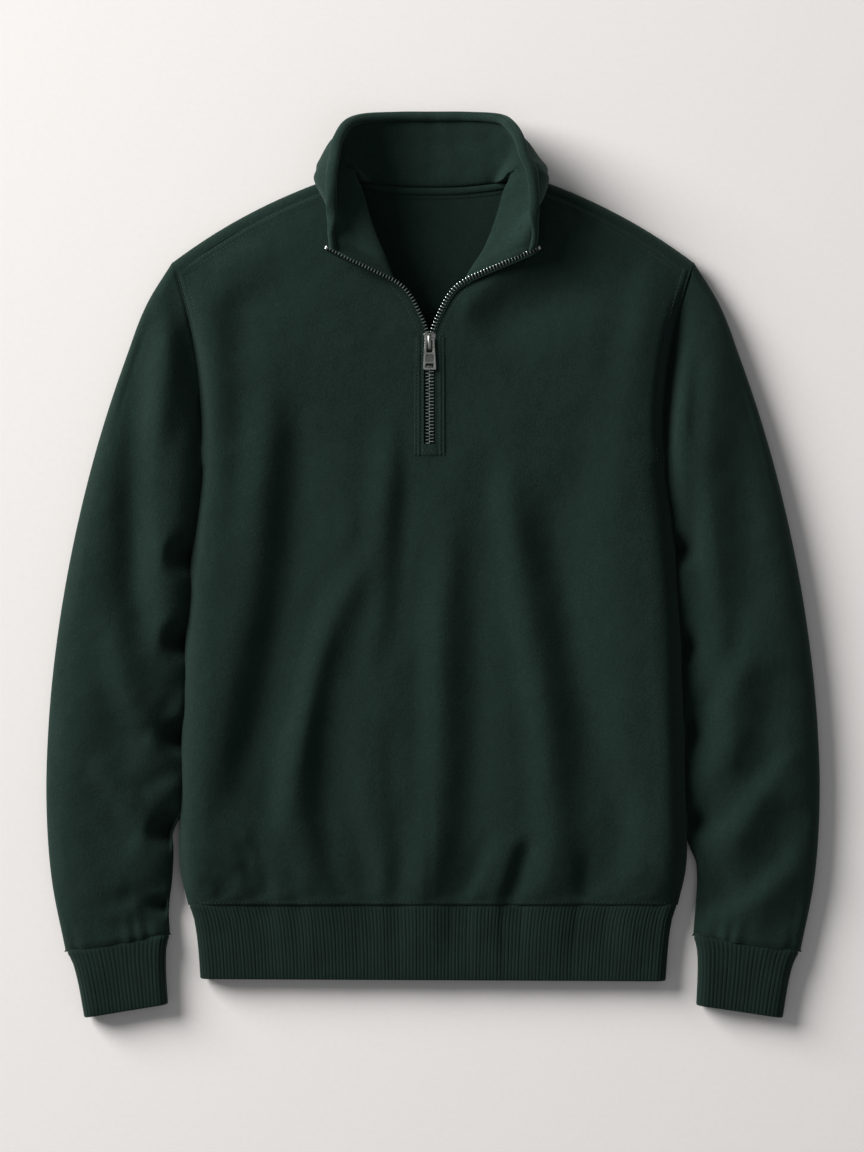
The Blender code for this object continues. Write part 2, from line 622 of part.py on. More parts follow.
def ring_height(ring, share, length, way, near_arm):
    """Height at a share of a ring's width from its outer edge, on its top or underneath."""
    edge = min(share, 1 - share) * length
    if way == -1:
        short = 1 - min(edge / SEAM_HEIGHT, 1.0)
        return SEAM_HEIGHT * (1 - math.sqrt(1 - short * short))
    if share < 1 - SHOULDER_SHARE:
        short = 1 - edge / SHOULDER_ROLL
        at_arm = SHOULDER_ROLL * (1 + math.sqrt(max(0.0, 1 - short * short)))
    else:
        at_arm = armhole_top(1 - share)
    dome = math.sqrt(1 - abs(2 * share - 1) ** 3.2)
    free = SEAM_HEIGHT + (ring.height - SEAM_HEIGHT) * dome
    free -= ring.crease * smooth_step((share - 0.42) / 0.4) * smooth_step((1 - share) / 0.10)
    return at_arm * near_arm + free * (1 - near_arm)


def tube_inner(rings, thickness):
    """Inner points of rings that each lie in an upright plane."""
    inner = np.empty_like(rings)
    for j, ring in enumerate(rings):
        before, after = np.roll(ring, 1, axis=0), np.roll(ring, -1, axis=0)
        across = ring[len(ring) // 2] - ring[0]
        across[2] = 0.0
        across = across / np.linalg.norm(across)
        tangent = after - before
        flat, up = tangent @ across, tangent[:, 2]
        size = np.hypot(flat, up)
        inner[j] = ring + thickness * (np.outer(up / size, across) - np.outer(flat / size, [0, 0, 1]))
    return inner


def make_sleeve(name, table, side):
    rings = np.array([sleeve_ring(ring, k) for k, ring in enumerate(table)])
    inner = tube_inner(rings, FLEECE)
    rings[..., 2] = np.maximum(rings[..., 2], 0.0)
    for points in (rings, inner):
        points[0, :, 0] -= SEAM_GAP
    if side > 0:
        rings, inner = rings * [-1, 1, 1], inner * [-1, 1, 1]
    wall(name, rings, inner, FLEECE_GREEN, closed=True)


def rib_section(start, end, height, ribs):
    """Outer and inner points of a flattened tube between two edge points in plan, ribbed on top."""
    radius = height / 2
    across = end - start
    length = np.linalg.norm(across)
    across = across / length
    flat = length - 2 * radius
    arc = math.pi / 2 * radius

    def at(distance, way, out):
        """Point at a distance along the top or the underside, moved out by `out`."""
        if distance < arc:
            turn, centre = distance / radius, radius
            x, z = centre - (radius + out) * math.cos(turn), (radius + out) * math.sin(turn)
        elif distance > arc + flat:
            turn = (distance - arc - flat) / radius
            x, z = length - radius + (radius + out) * math.sin(turn), (radius + out) * math.cos(turn)
        else:
            x, z = radius + distance - arc, radius + out
        plan = start + across * x
        return [*plan, radius + way * z]

    whole = 2 * arc + flat
    outer, inner = [], []
    for k in range(2 * ribs + 1):
        distance = whole * k / (2 * ribs)
        lift = RIB_RELIEF / 2 * (1 if k % 2 else -1)
        edge = min(k, 2 * ribs - k)
        outer.append(at(distance, 1, lift if edge > 1 else 0.0))
        inner.append(at(distance, 1, -RIB))
    under = [whole - arc * t for t in (0.35, 0.7, 1.0)]
    under += [arc + flat * (1 - t) for t in (0.25, 0.5, 0.75)] + [arc * t for t in (1.0, 0.7, 0.35)]
    for distance in under:
        outer.append(at(distance, -1, 0.0))
        inner.append(at(distance, -1, -RIB))
    return outer, inner


def make_rib_tube(name, ends, ribs, side=-1):
    """A ribbed tube between its two end rows, each (start, stop, height)."""
    sections = [rib_section(start, stop, height, ribs) for start, stop, height in ends]
    outer = np.array([section[0] for section in sections])
    inner = np.array([section[1] for section in sections])
    if side > 0:
        outer, inner = outer * [-1, 1, 1], inner * [-1, 1, 1]
    wall(name, outer, inner, RIB_GREEN, closed=True)


def make_cuff(name, table, side):
    ring = table[-1]
    out = np.array([-table_value(SLEEVE_OUTSIDE, ring.out_y), ring.out_y])
    inn = np.array([ring.in_x, ring.in_y])
    across = (inn - out) / np.linalg.norm(inn - out)
    along = np.array([across[1], -across[0]])
    ends = []
    for end in CUFF_ENDS:
        start = out + along * end.down + across * end.out_in
        ends.append((start, inn + along * end.down - across * end.in_in, end.height))
    make_rib_tube(name, ends, CUFF_RIBS, side)


def make_hem():
    seam_y = HEM_SEAM_Y - SEAM_GAP / 2
    seam = (np.array([-HEM_HALF, seam_y]), np.array([HEM_HALF, seam_y]), HEM_HEIGHT)
    low_left, low_right = np.array([-HEM_END_HALF, HEM_END_Y]), np.array([HEM_END_HALF, HEM_END_Y - 0.002])
    make_rib_tube("hem_band", [seam, (low_left, low_right, HEM_HEIGHT - 0.002)], HEM_RIBS)


# Collar


def collar_half():
    """Middle surface of the left half: rows from the front end to the middle of the back."""
    table = np.array(COLLAR).reshape(len(COLLAR), 3, 3)
    seam, belly, top = table[:, 0], table[:, 1], table[:, 2]
    edge = np.array([[*beside_zip(k, 1), ZIP_LINE[k].z] for k in range(ZIP_NECK, len(ZIP_LINE))])
    lengths = np.concatenate([[0], np.cumsum(np.linalg.norm(np.diff(edge, axis=0), axis=1))])
    front_end = smooth_curve(lengths, edge, [band.share * lengths[-1] for band in COLLAR_BANDS])
    columns = []
    places = np.arange(len(COLLAR) + 1, dtype=float)
    at = np.linspace(0, len(COLLAR), COLLAR_SPANS + 1)
    for band, start in zip(COLLAR_BANDS, front_end):
        v = band.share
        line = 2 * (v - 0.5) * (v - 1) * seam + 4 * v * (1 - v) * belly + 2 * v * (v - 0.5) * top
        columns.append(smooth_curve(places, np.vstack([start, line]), at))
    return np.array(columns).transpose(1, 0, 2)


def make_collar():
    left = collar_half()
    right = np.array([[mirrored(point) for point in row] for row in left[-2::-1]])
    grid = np.concatenate([left, right])
    normals = grid_normals(grid)
    if normals[COLLAR_SPANS, 0, 2] < 0:
        normals = -normals
    half = COLLAR_THICK / 2 * np.array([band.thick for band in COLLAR_BANDS])[None, :, None]
    wall("collar", grid - normals * half, grid + normals * half, FACING_GREEN)


TAPE_SECTION = ((0.0012, 0.0032), (0.0024, 0.0038), (0.0050, 0.0038), (0.0062, 0.0032))  # (in, up)


def make_neck_tape():
    edge = np.array(NECK_EDGE[::-1])
    lengths = np.concatenate([[0], np.cumsum(np.linalg.norm(np.diff(edge, axis=0), axis=1))])
    left = smooth_curve(lengths, edge, np.linspace(lengths[1] * 0.5, lengths[-1], 9))
    line = np.concatenate([left, left[-2::-1] * [-1, 1]])
    outer = np.array([[[x, y - inside, z] for x, y in line] for inside, z in TAPE_SECTION])
    inner = outer.copy()
    inner[..., 2] = FLEECE + SEAM_GAP
    wall("neck_tape", outer, inner, TAPE_GREEN)


# Zip


def make_placket(grid, foot):
    """The stitched frame round the zip, on the front's own points, moved out."""
    columns = grid.shape[1]
    low, high = foot - 1, foot + 4
    first, last = columns // 2 - 2, columns // 2 + 2
    patch = grid[low:high + 1, first:last]
    lower = patch + [0, 0, SEAM_GAP]
    upper = patch + [0, 0, SEAM_GAP + PLACKET_THICK]
    present = np.ones((patch.shape[0] - 1, patch.shape[1] - 1), bool)
    present[1:, 1] = False
    wall("placket", upper, lower, FLEECE_GREEN, present)


CHAIN_HALF = SLIT_HALF - SEAM_GAP
CHAIN_TOP = ZIP_TOP - 0.0004
CHAIN_THICK = 0.0014
SLIDER_PLATE = 0.0012
HINGE_Y = SLIDER_Y - 0.0015
HINGE_RISE = 0.0014  # of the hinge above the slider's plate
TAB_LONG = 0.0255
TAB_THICK = 0.0013


def box(name, low, high, finish, bevel=0.0002):
    """A box between two corners, with its edges rounded."""
    bm = bmesh.new()
    bmesh.ops.create_cube(bm, size=1.0)
    low, high = np.array(low), np.array(high)
    for vert in bm.verts:
        vert.co = low + (np.array(vert.co) + 0.5) * (high - low)
    mesh = bpy.data.meshes.new(name)
    bm.to_mesh(mesh)
    bm.free()
    obj = add_object(name, mesh, finish)
    if bevel:
        rounding = obj.modifiers.new("rounding", "BEVEL")
        rounding.width = bevel
        rounding.segments = 1
    return obj


def joined(name, pieces):
    """One object of the first piece with the others joined to it."""
    first = pieces[0]
    first.name = name
    for piece in pieces[1:]:
        union = first.modifiers.new("join " + piece.name, "BOOLEAN")
        union.operation = "UNION"
        union.object = piece
        piece.hide_render = True
        piece.display_type = "WIRE"
        bpy.data.collections["pullover"].objects.unlink(piece)
        bpy.data.collections["cutters"].objects.link(piece)
    return first


def make_zip_chain():
    low = (ZIP_X - CHAIN_HALF, ZIP_FOOT_Y + SEAM_GAP, CHAIN_TOP - CHAIN_THICK)
    high = (ZIP_X + CHAIN_HALF, SLIDER_Y, CHAIN_TOP)
    box("zip_chain", low, high, TAPE_GREEN, 0)


def make_zip_side(name, side):
    """One free side of the zip, from the slider to the collar's corner."""
    points = [p if side < 0 else tuple(mirrored(p)) for p in ZIP_LINE]
    lengths = np.concatenate([[0], np.cumsum([math.dist(a, b) for a, b in zip(points, points[1:])])])
    line = smooth_curve(lengths, np.array(points), np.linspace(0, lengths[-1], 34))
    curve = bpy.data.curves.new(name, "CURVE")
    curve.dimensions = "3D"
    curve.bevel_depth = ZIP_WIDE / 2
    curve.bevel_resolution = 1
    curve.use_fill_caps = True
    spline = curve.splines.new("POLY")
    spline.points.add(len(line) - 1)
    for point, place in zip(spline.points, line):
        point.co = (*place, 1.0)
    obj = bpy.data.objects.new(name, curve)
    bpy.data.collections["pullover"].objects.link(obj)
    curve.materials.append(material(name, TAPE_GREEN))
    return line


def make_stop(name, line):
    """The metal stop at the top of one side."""
    end = line[-1]
    way = (line[-1] - line[-2]) / np.linalg.norm(line[-1] - line[-2])
    centre = end + way * (0.0012 + SEAM_GAP)
    obj = box(name, (-0.0012, -0.0016, -0.0014), (0.0012, 0.0016, 0.0014), NICKEL, 0.0004)
    obj.location = centre
    obj.rotation_euler = (0.0, -math.asin(way[2]), math.atan2(way[1], way[0]))


def make_slider():
    plate_low = CHAIN_TOP + SEAM_GAP
    plate_high = plate_low + SLIDER_PLATE
    hinge_z = plate_high + HINGE_RISE
    low_plate = CHAIN_TOP - CHAIN_THICK - SEAM_GAP
    half = CHAIN_HALF - 0.0002
    pieces = [
        box("zip_slider", (ZIP_X - half, SLIDER_Y - 0.0085, plate_low),
            (ZIP_X + half, SLIDER_Y + 0.0035, plate_high), NICKEL, 0.0003),
        box("slider_under", (ZIP_X - half, SLIDER_Y - 0.0075, low_plate - 0.001),
            (ZIP_X + half, SLIDER_Y + 0.0035, low_plate), NICKEL, 0.0002),
        box("slider_post", (ZIP_X - 0.0014, SLIDER_Y + SEAM_GAP, low_plate - 0.0005),
            (ZIP_X + 0.0014, SLIDER_Y + 0.0030, plate_low + 0.0005), NICKEL, 0),
        box("slider_bail_low", (ZIP_X - 0.001, HINGE_Y - 0.0035, plate_high - 0.0004),
            (ZIP_X + 0.001, HINGE_Y - 0.0015, hinge_z + 0.0016), NICKEL, 0),
        box("slider_bail_high", (ZIP_X - 0.001, HINGE_Y + 0.0015, plate_high - 0.0004),
            (ZIP_X + 0.001, HINGE_Y + 0.0035, hinge_z + 0.0016), NICKEL, 0),
        box("slider_bail_top", (ZIP_X - 0.001, HINGE_Y - 0.0035, hinge_z + 0.0011),
            (ZIP_X + 0.001, HINGE_Y + 0.0035, hinge_z + 0.0022), NICKEL, 0),
    ]
    joined("zip_slider", pieces)
    return hinge_z


def make_pull(hinge_z):
    """The pull tab at rest, hanging from its hinge towards the hem."""
    pivot = bpy.data.objects.new("pull_pivot", None)
    pivot.location = (ZIP_X, HINGE_Y, hinge_z)
    bpy.data.collections["pullover"].objects.link(pivot)
    half = TAB_THICK / 2
    bar = 0.00075
    pieces = [
        box("zip_pull", (-0.0035, -bar, -half), (0.0035, bar, half), NICKEL, 0),
        box("tab_left", (-0.0036, -0.0085, -half), (-0.0018, bar, half), NICKEL, 0),
        box("tab_right", (0.0018, -0.0085, -half), (0.0036, bar, half), NICKEL, 0),
        box("tab_plate", (-0.0044, -0.0170, -half), (0.0044, -0.0080, half), NICKEL, 0),
        box("tab_side_a", (-0.0053, -TAB_LONG, -half), (-0.0030, -0.0165, half), NICKEL, 0),
        box("tab_side_b", (0.0030, -TAB_LONG, -half), (0.0053, -0.0165, half), NICKEL, 0),
        box("tab_foot", (-0.0053, -TAB_LONG, -half), (0.0053, -TAB_LONG + 0.0022, half), NICKEL, 0),
    ]
    joined("zip_pull", pieces)
    for piece in pieces:
        piece.parent = pivot


def main():
    for obj in list(bpy.data.objects):
        bpy.data.objects.remove(obj, do_unlink=True)
    for name in ("pullover", "cutters"):
        bpy.context.scene.collection.children.link(bpy.data.collections.new(name))
    bpy.data.collections["cutters"].hide_render = True
    grid, foot = make_front()
    make_back()
    make_sleeve("sleeve_left", SLEEVE_LEFT, -1)
    make_sleeve("sleeve_right", SLEEVE_RIGHT, 1)
    make_cuff("cuff_left", SLEEVE_LEFT, -1)
    make_cuff("cuff_right", SLEEVE_RIGHT, 1)
    make_hem()
    make_collar()
    make_neck_tape()
    make_placket(grid, foot)
    make_zip_chain()
    for name, side in (("left", -1), ("right", 1)):
        line = make_zip_side("zip_" + name, side)
        make_stop("stop_" + name, line)
    make_pull(make_slider())


main()
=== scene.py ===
"""Looks of the quarter-zip fleece pullover: cloth, ribs, seams, stitching, zip, light and camera. Metres, in the
frame of the solids. The cloth surfaces follow the same named sizes as the solids, with finer folds."""

import math
from collections import namedtuple

import bmesh
import bpy
import numpy as np
from mathutils import Matrix, Vector, noise

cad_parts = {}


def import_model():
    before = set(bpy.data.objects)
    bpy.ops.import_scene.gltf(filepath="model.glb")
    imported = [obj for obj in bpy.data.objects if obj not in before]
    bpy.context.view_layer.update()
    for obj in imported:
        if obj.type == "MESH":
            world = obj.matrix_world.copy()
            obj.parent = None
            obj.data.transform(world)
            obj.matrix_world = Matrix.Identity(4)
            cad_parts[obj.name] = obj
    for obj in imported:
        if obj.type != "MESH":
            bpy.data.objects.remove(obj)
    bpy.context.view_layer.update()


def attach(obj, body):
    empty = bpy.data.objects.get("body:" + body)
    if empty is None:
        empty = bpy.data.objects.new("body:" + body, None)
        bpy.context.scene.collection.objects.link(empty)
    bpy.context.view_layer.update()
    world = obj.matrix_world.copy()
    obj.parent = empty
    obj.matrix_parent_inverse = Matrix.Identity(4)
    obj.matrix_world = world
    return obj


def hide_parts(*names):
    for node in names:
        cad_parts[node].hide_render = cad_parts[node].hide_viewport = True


def table(kind, *rows):
    return [kind(*row) for row in rows]


# Driving dimensions
FLEECE = 0.0022  # thickness of the single cloth
RIB = 0.0034  # thickness of the doubled rib cloth
RIB_RELIEF = 0.0005  # how far a rib stands out
SEAM_GAP = 0.0003
HEM_RIBS = 137
CUFF_RIBS = 26
SEAM_HEIGHT = 0.010  # of the side seams above the surface
EDGE_ROUND = 0.026  # width over which the front rolls down to the side seam
VALLEY = 0.045  # width over which the front slopes down to the armhole
TOP = 0.034  # height of the loft in the front
HEM_SEAM_Y = -0.296
HEM_END_Y = -0.3605
HEM_HALF = 0.2125
HEM_END_HALF = 0.2035
HEM_HEIGHT = 0.021
PIT = (-0.2035, 0.085)
SHOULDER_POINT = (-0.228, 0.266)
ARMHOLE_BOW = 0.0095
SHOULDER_ROLL = 0.010  # radius of the fold along the shoulder
NECK_ROLL = 0.008
ZIP_X = -0.003
ZIP_FOOT_Y = 0.1065
SLIDER_Y = 0.200
SLIT_HALF = 0.005
PLACKET_HALF = 0.0135
PLACKET_FOOT_Y = 0.0965
PLACKET_THICK = 0.0009
ZIP_TOP = 0.032  # height of the cloth beside the zip
COLLAR_THICK = 0.0046

Outline = namedtuple("Outline", "y half")
TORSO_SIDE = table(
    Outline, (-0.296, 0.2138), (-0.268, 0.2168), (-0.205, 0.2160), (-0.112, 0.2135), (-0.018, 0.2100),
    (0.050, 0.2062), (0.085, 0.2035),
)
SLEEVE_OUTSIDE = table(
    Outline, (-0.337, 0.3212), (-0.274, 0.3335), (-0.204, 0.3382), (-0.134, 0.3360), (-0.047, 0.3265),
    (0.041, 0.3100), (0.111, 0.2920), (0.181, 0.2690), (0.233, 0.2485), (0.266, 0.2280),
)

Height = namedtuple("Height", "at z")
# along the body, by y
FRONT_HEIGHT = table(
    Height, (-0.296, 0.0225), (-0.280, 0.0262), (-0.250, 0.0308), (-0.200, 0.0335), (0.085, TOP),
)
# from the armpit's row, 0, to the shoulder seam, 1
CROWN_HEIGHT = table(
    Height, (0.00, TOP), (0.45, 0.0335), (0.70, 0.0320), (0.86, 0.0285), (0.95, 0.0240),
    (1.00, 2 * SHOULDER_ROLL),
)

# The zip's line on the left half, from the slider to the collar's corner. The right half mirrors it.
ZipPoint = namedtuple("ZipPoint", "x y z")
ZIP_LINE = table(
    ZipPoint, (-0.0062, 0.2045, 0.0326), (-0.0092, 0.2130, 0.0326), (-0.0134, 0.2220, 0.0326),
    (-0.0199, 0.2345, 0.0327), (-0.0268, 0.2430, 0.0330), (-0.0350, 0.2488, 0.0345),
    (-0.0469, 0.2545, 0.0378), (-0.0620, 0.2615, 0.0420), (-0.0780, 0.2690, 0.0462),
    (-0.0915, 0.2762, 0.0500),
)
ZIP_NECK = 5  # the point of the zip's line at the neck seam
ZIP_WIDE = 0.0030

# Rows of the front above the armpit: `side` is the share of the armhole at the row's other end
SlitRow = namedtuple("SlitRow", "y side")
SLIT_ROWS = table(
    SlitRow, (PLACKET_FOOT_Y, 0.04), (ZIP_FOOT_Y, 0.09), (0.130, 0.16), (0.155, 0.24), (0.180, 0.32),
    (0.202, 0.39),
)
ZIP_ROW_SIDES = (0.45, 0.51, 0.57, 0.63)  # rows that end at the zip line's points before the neck
NeckRow = namedtuple("NeckRow", "x y z side")
NECK_ROWS = table(
    NeckRow, (-0.0365, 0.2545, 0.0308, 0.69), (-0.0445, 0.2740, 0.0296, 0.76),
    (-0.0530, 0.2940, 0.0270, 0.83), (-0.0600, 0.3120, 0.0235, 0.89), (-0.0660, 0.3270, 0.0195, 0.95),
    (-0.0700, 0.3375, 2 * NECK_ROLL, 1.00),
)
SHOULDER_BOW = 0.0075
BODY_ROWS = (-0.290, -0.275, -0.252, -0.226, -0.196, -0.164, -0.132, -0.100, -0.068, -0.036, -0.004, 0.026,
             0.052, 0.072)

Fold = namedtuple("Fold", "top_x top_y mid_x mid_y low_x low_y width depth")
# troughs go down, ridges up
FRONT_FOLDS = table(
    Fold, (-0.120, 0.175, -0.131, 0.000, -0.181, -0.235, 0.017, -0.0068),
    (-0.072, -0.030, -0.098, -0.165, -0.074, -0.320, 0.013, -0.0052),
    (-0.026, 0.090, -0.033, -0.010, -0.043, -0.110, 0.013, -0.0022),
    (0.026, 0.075, 0.036, -0.080, 0.010, -0.330, 0.016, -0.0034),
    (0.088, 0.075, 0.124, -0.115, 0.128, -0.330, 0.016, -0.0048),
    (-0.170, -0.232, -0.160, -0.262, -0.149, -0.320, 0.008, -0.0034),
    (0.080, -0.235, 0.073, -0.265, 0.064, -0.320, 0.008, -0.0034),
    (0.134, -0.245, 0.132, -0.275, 0.130, -0.320, 0.008, -0.0026),
    (-0.034, 0.150, -0.078, -0.010, -0.128, -0.230, 0.017, 0.0030),
    (0.002, 0.020, -0.001, -0.130, -0.024, -0.310, 0.015, 0.0026),
    (0.052, 0.110, 0.086, -0.080, 0.092, -0.290, 0.016, 0.0028),
    (-0.152, 0.215, -0.156, 0.130, -0.166, 0.040, 0.020, 0.0022),
    (0.160, 0.120, 0.165, -0.020, 0.172, -0.180, 0.022, 0.0018),
)
FOLD_FADE = 0.22  # share of a fold's length over which it fades at each end

# Sleeve rings: the outer edge's y, the inner edge, the height, and how deep the inner edge is creased
Ring = namedtuple("Ring", "out_y in_x in_y height crease")
SLEEVE_LEFT = table(
    Ring, (0.266, PIT[0], PIT[1], 0.0250, 0.0), (0.258, -0.2058, 0.0825, 0.0282, 0.0),
    (0.243, -0.2072, 0.0770, 0.0318, 0.0), (0.219, -0.2088, 0.0670, 0.0345, 0.0),
    (0.188, -0.2096, 0.0540, 0.0360, 0.001), (0.153, -0.2112, 0.0370, 0.0362, 0.004),
    (0.118, -0.2150, 0.0170, 0.0358, 0.006), (0.084, -0.2128, -0.0060, 0.0354, 0.001),
    (0.052, -0.2125, -0.0270, 0.0350, 0.0), (0.022, -0.2150, -0.0450, 0.0346, 0.002),
    (-0.008, -0.2205, -0.0640, 0.0342, 0.005), (-0.040, -0.2178, -0.0880, 0.0338, 0.001),
    (-0.072, -0.2160, -0.1120, 0.0334, 0.0), (-0.104, -0.2205, -0.1330, 0.0330, 0.004),
    (-0.134, -0.2240, -0.1520, 0.0326, 0.005), (-0.163, -0.2235, -0.1720, 0.0320, 0.001),
    (-0.190, -0.2240, -0.1930, 0.0314, 0.0), (-0.220, -0.2290, -0.2240, 0.0306, 0.007),
    (-0.250, -0.2270, -0.2470, 0.0298, 0.001), (-0.280, -0.2280, -0.2730, 0.0284, 0.001),
    (-0.308, -0.2310, -0.2990, 0.0262, 0.004), (-0.337, -0.2300, -0.3220, 0.0236, 0.0),
)
SLEEVE_RIGHT = table(
    Ring, (0.266, PIT[0], PIT[1], 0.0250, 0.0), (0.258, -0.2065, 0.0825, 0.0282, 0.0),
    (0.243, -0.2085, 0.0770, 0.0318, 0.0), (0.219, -0.2110, 0.0670, 0.0345, 0.0),
    (0.188, -0.2145, 0.0540, 0.0360, 0.001), (0.153, -0.2180, 0.0370, 0.0362, 0.004),
    (0.118, -0.2220, 0.0160, 0.0358, 0.006), (0.084, -0.2180, -0.0080, 0.0354, 0.001),
    (0.052, -0.2155, -0.0280, 0.0350, 0.0), (0.022, -0.2195, -0.0470, 0.0346, 0.002),
    (-0.008, -0.2240, -0.0650, 0.0342, 0.005), (-0.040, -0.2205, -0.0880, 0.0338, 0.001),
    (-0.072, -0.2195, -0.1120, 0.0334, 0.0), (-0.104, -0.2235, -0.1350, 0.0330, 0.008),
    (-0.134, -0.2270, -0.1600, 0.0326, 0.005), (-0.163, -0.2300, -0.1850, 0.0320, 0.001),
    (-0.190, -0.2275, -0.2060, 0.0314, 0.0), (-0.220, -0.2300, -0.2280, 0.0306, 0.008),
    (-0.250, -0.2300, -0.2500, 0.0298, 0.003), (-0.280, -0.2310, -0.2740, 0.0284, 0.001),
    (-0.308, -0.2295, -0.2970, 0.0262, 0.003), (-0.337, -0.2275, -0.3230, 0.0236, 0.0),
)
ARM_HEIGHT = 0.0250  # of the armhole seam

# A cuff's two ends, measured from the sleeve's last ring: how far down, and how far in from each edge
CuffEnd = namedtuple("CuffEnd", "down out_in in_in height")
CUFF_ENDS = [CuffEnd(SEAM_GAP, 0.0022, 0.0016, 0.0215), CuffEnd(0.0595, 0.0066, 0.0115, 0.0190)]

# The collar's middle surface from its front end to the back of the neck: seam, belly and top edge
Station = namedtuple("Station", "seam_x seam_y seam_z belly_x belly_y belly_z top_x top_y top_z")
# after its front end, which follows the zip's line
COLLAR = table(
    Station, (-0.0410, 0.2690, 0.0326, -0.0690, 0.2805, 0.0445, -0.0915, 0.2920, 0.0570),
    (-0.0500, 0.2900, 0.0303, -0.0795, 0.2990, 0.0450, -0.0880, 0.3090, 0.0660),
    (-0.0585, 0.3110, 0.0268, -0.0905, 0.3170, 0.0430, -0.0855, 0.3270, 0.0700),
    (-0.0655, 0.3290, 0.0225, -0.0980, 0.3350, 0.0400, -0.0838, 0.3420, 0.0700),
    (-0.0735, 0.3405, 0.0180, -0.0970, 0.3440, 0.0385, -0.0830, 0.3500, 0.0695),
    (-0.0765, 0.3510, 0.0100, -0.0945, 0.3530, 0.0355, -0.0822, 0.3580, 0.0675),
    (-0.0690, 0.3417, 0.0030, -0.0865, 0.3645, 0.0295, -0.0803, 0.3715, 0.0610),
    (-0.0590, 0.3377, 0.0026, -0.0730, 0.3705, 0.0205, -0.0725, 0.3860, 0.0485),
    (-0.0440, 0.3354, 0.0026, -0.0540, 0.3705, 0.0130, -0.0595, 0.3933, 0.0340),
    (-0.0220, 0.3331, 0.0026, -0.0260, 0.3678, 0.0076, -0.0310, 0.3966, 0.0210),
    (0.0, 0.3325, 0.0026, 0.0, 0.3665, 0.0060, 0.0, 0.3972, 0.0165),
)
Band = namedtuple("Band", "share thick")
# from the seam to the top edge, with the stitched roll along the top
COLLAR_BANDS = table(
    Band, (0.0, 0.40), (0.06, 0.80), (0.18, 1.0), (0.38, 1.0), (0.58, 1.0), (0.76, 1.0), (0.87, 0.72),
    (0.94, 1.12), (1.0, 0.55),
)

# the back panel's neck edge in plan, from the middle out to the shoulder
NECK_EDGE = [
    (0.0, 0.3320), (-0.022, 0.3325), (-0.044, 0.3346), (-0.058, 0.3364), (-0.065, 0.3376),
    (-0.0700, 0.3375),
]


# Finer relief, in the same coordinates
Crease = namedtuple("Crease", "from_x from_y to_x to_y width depth")
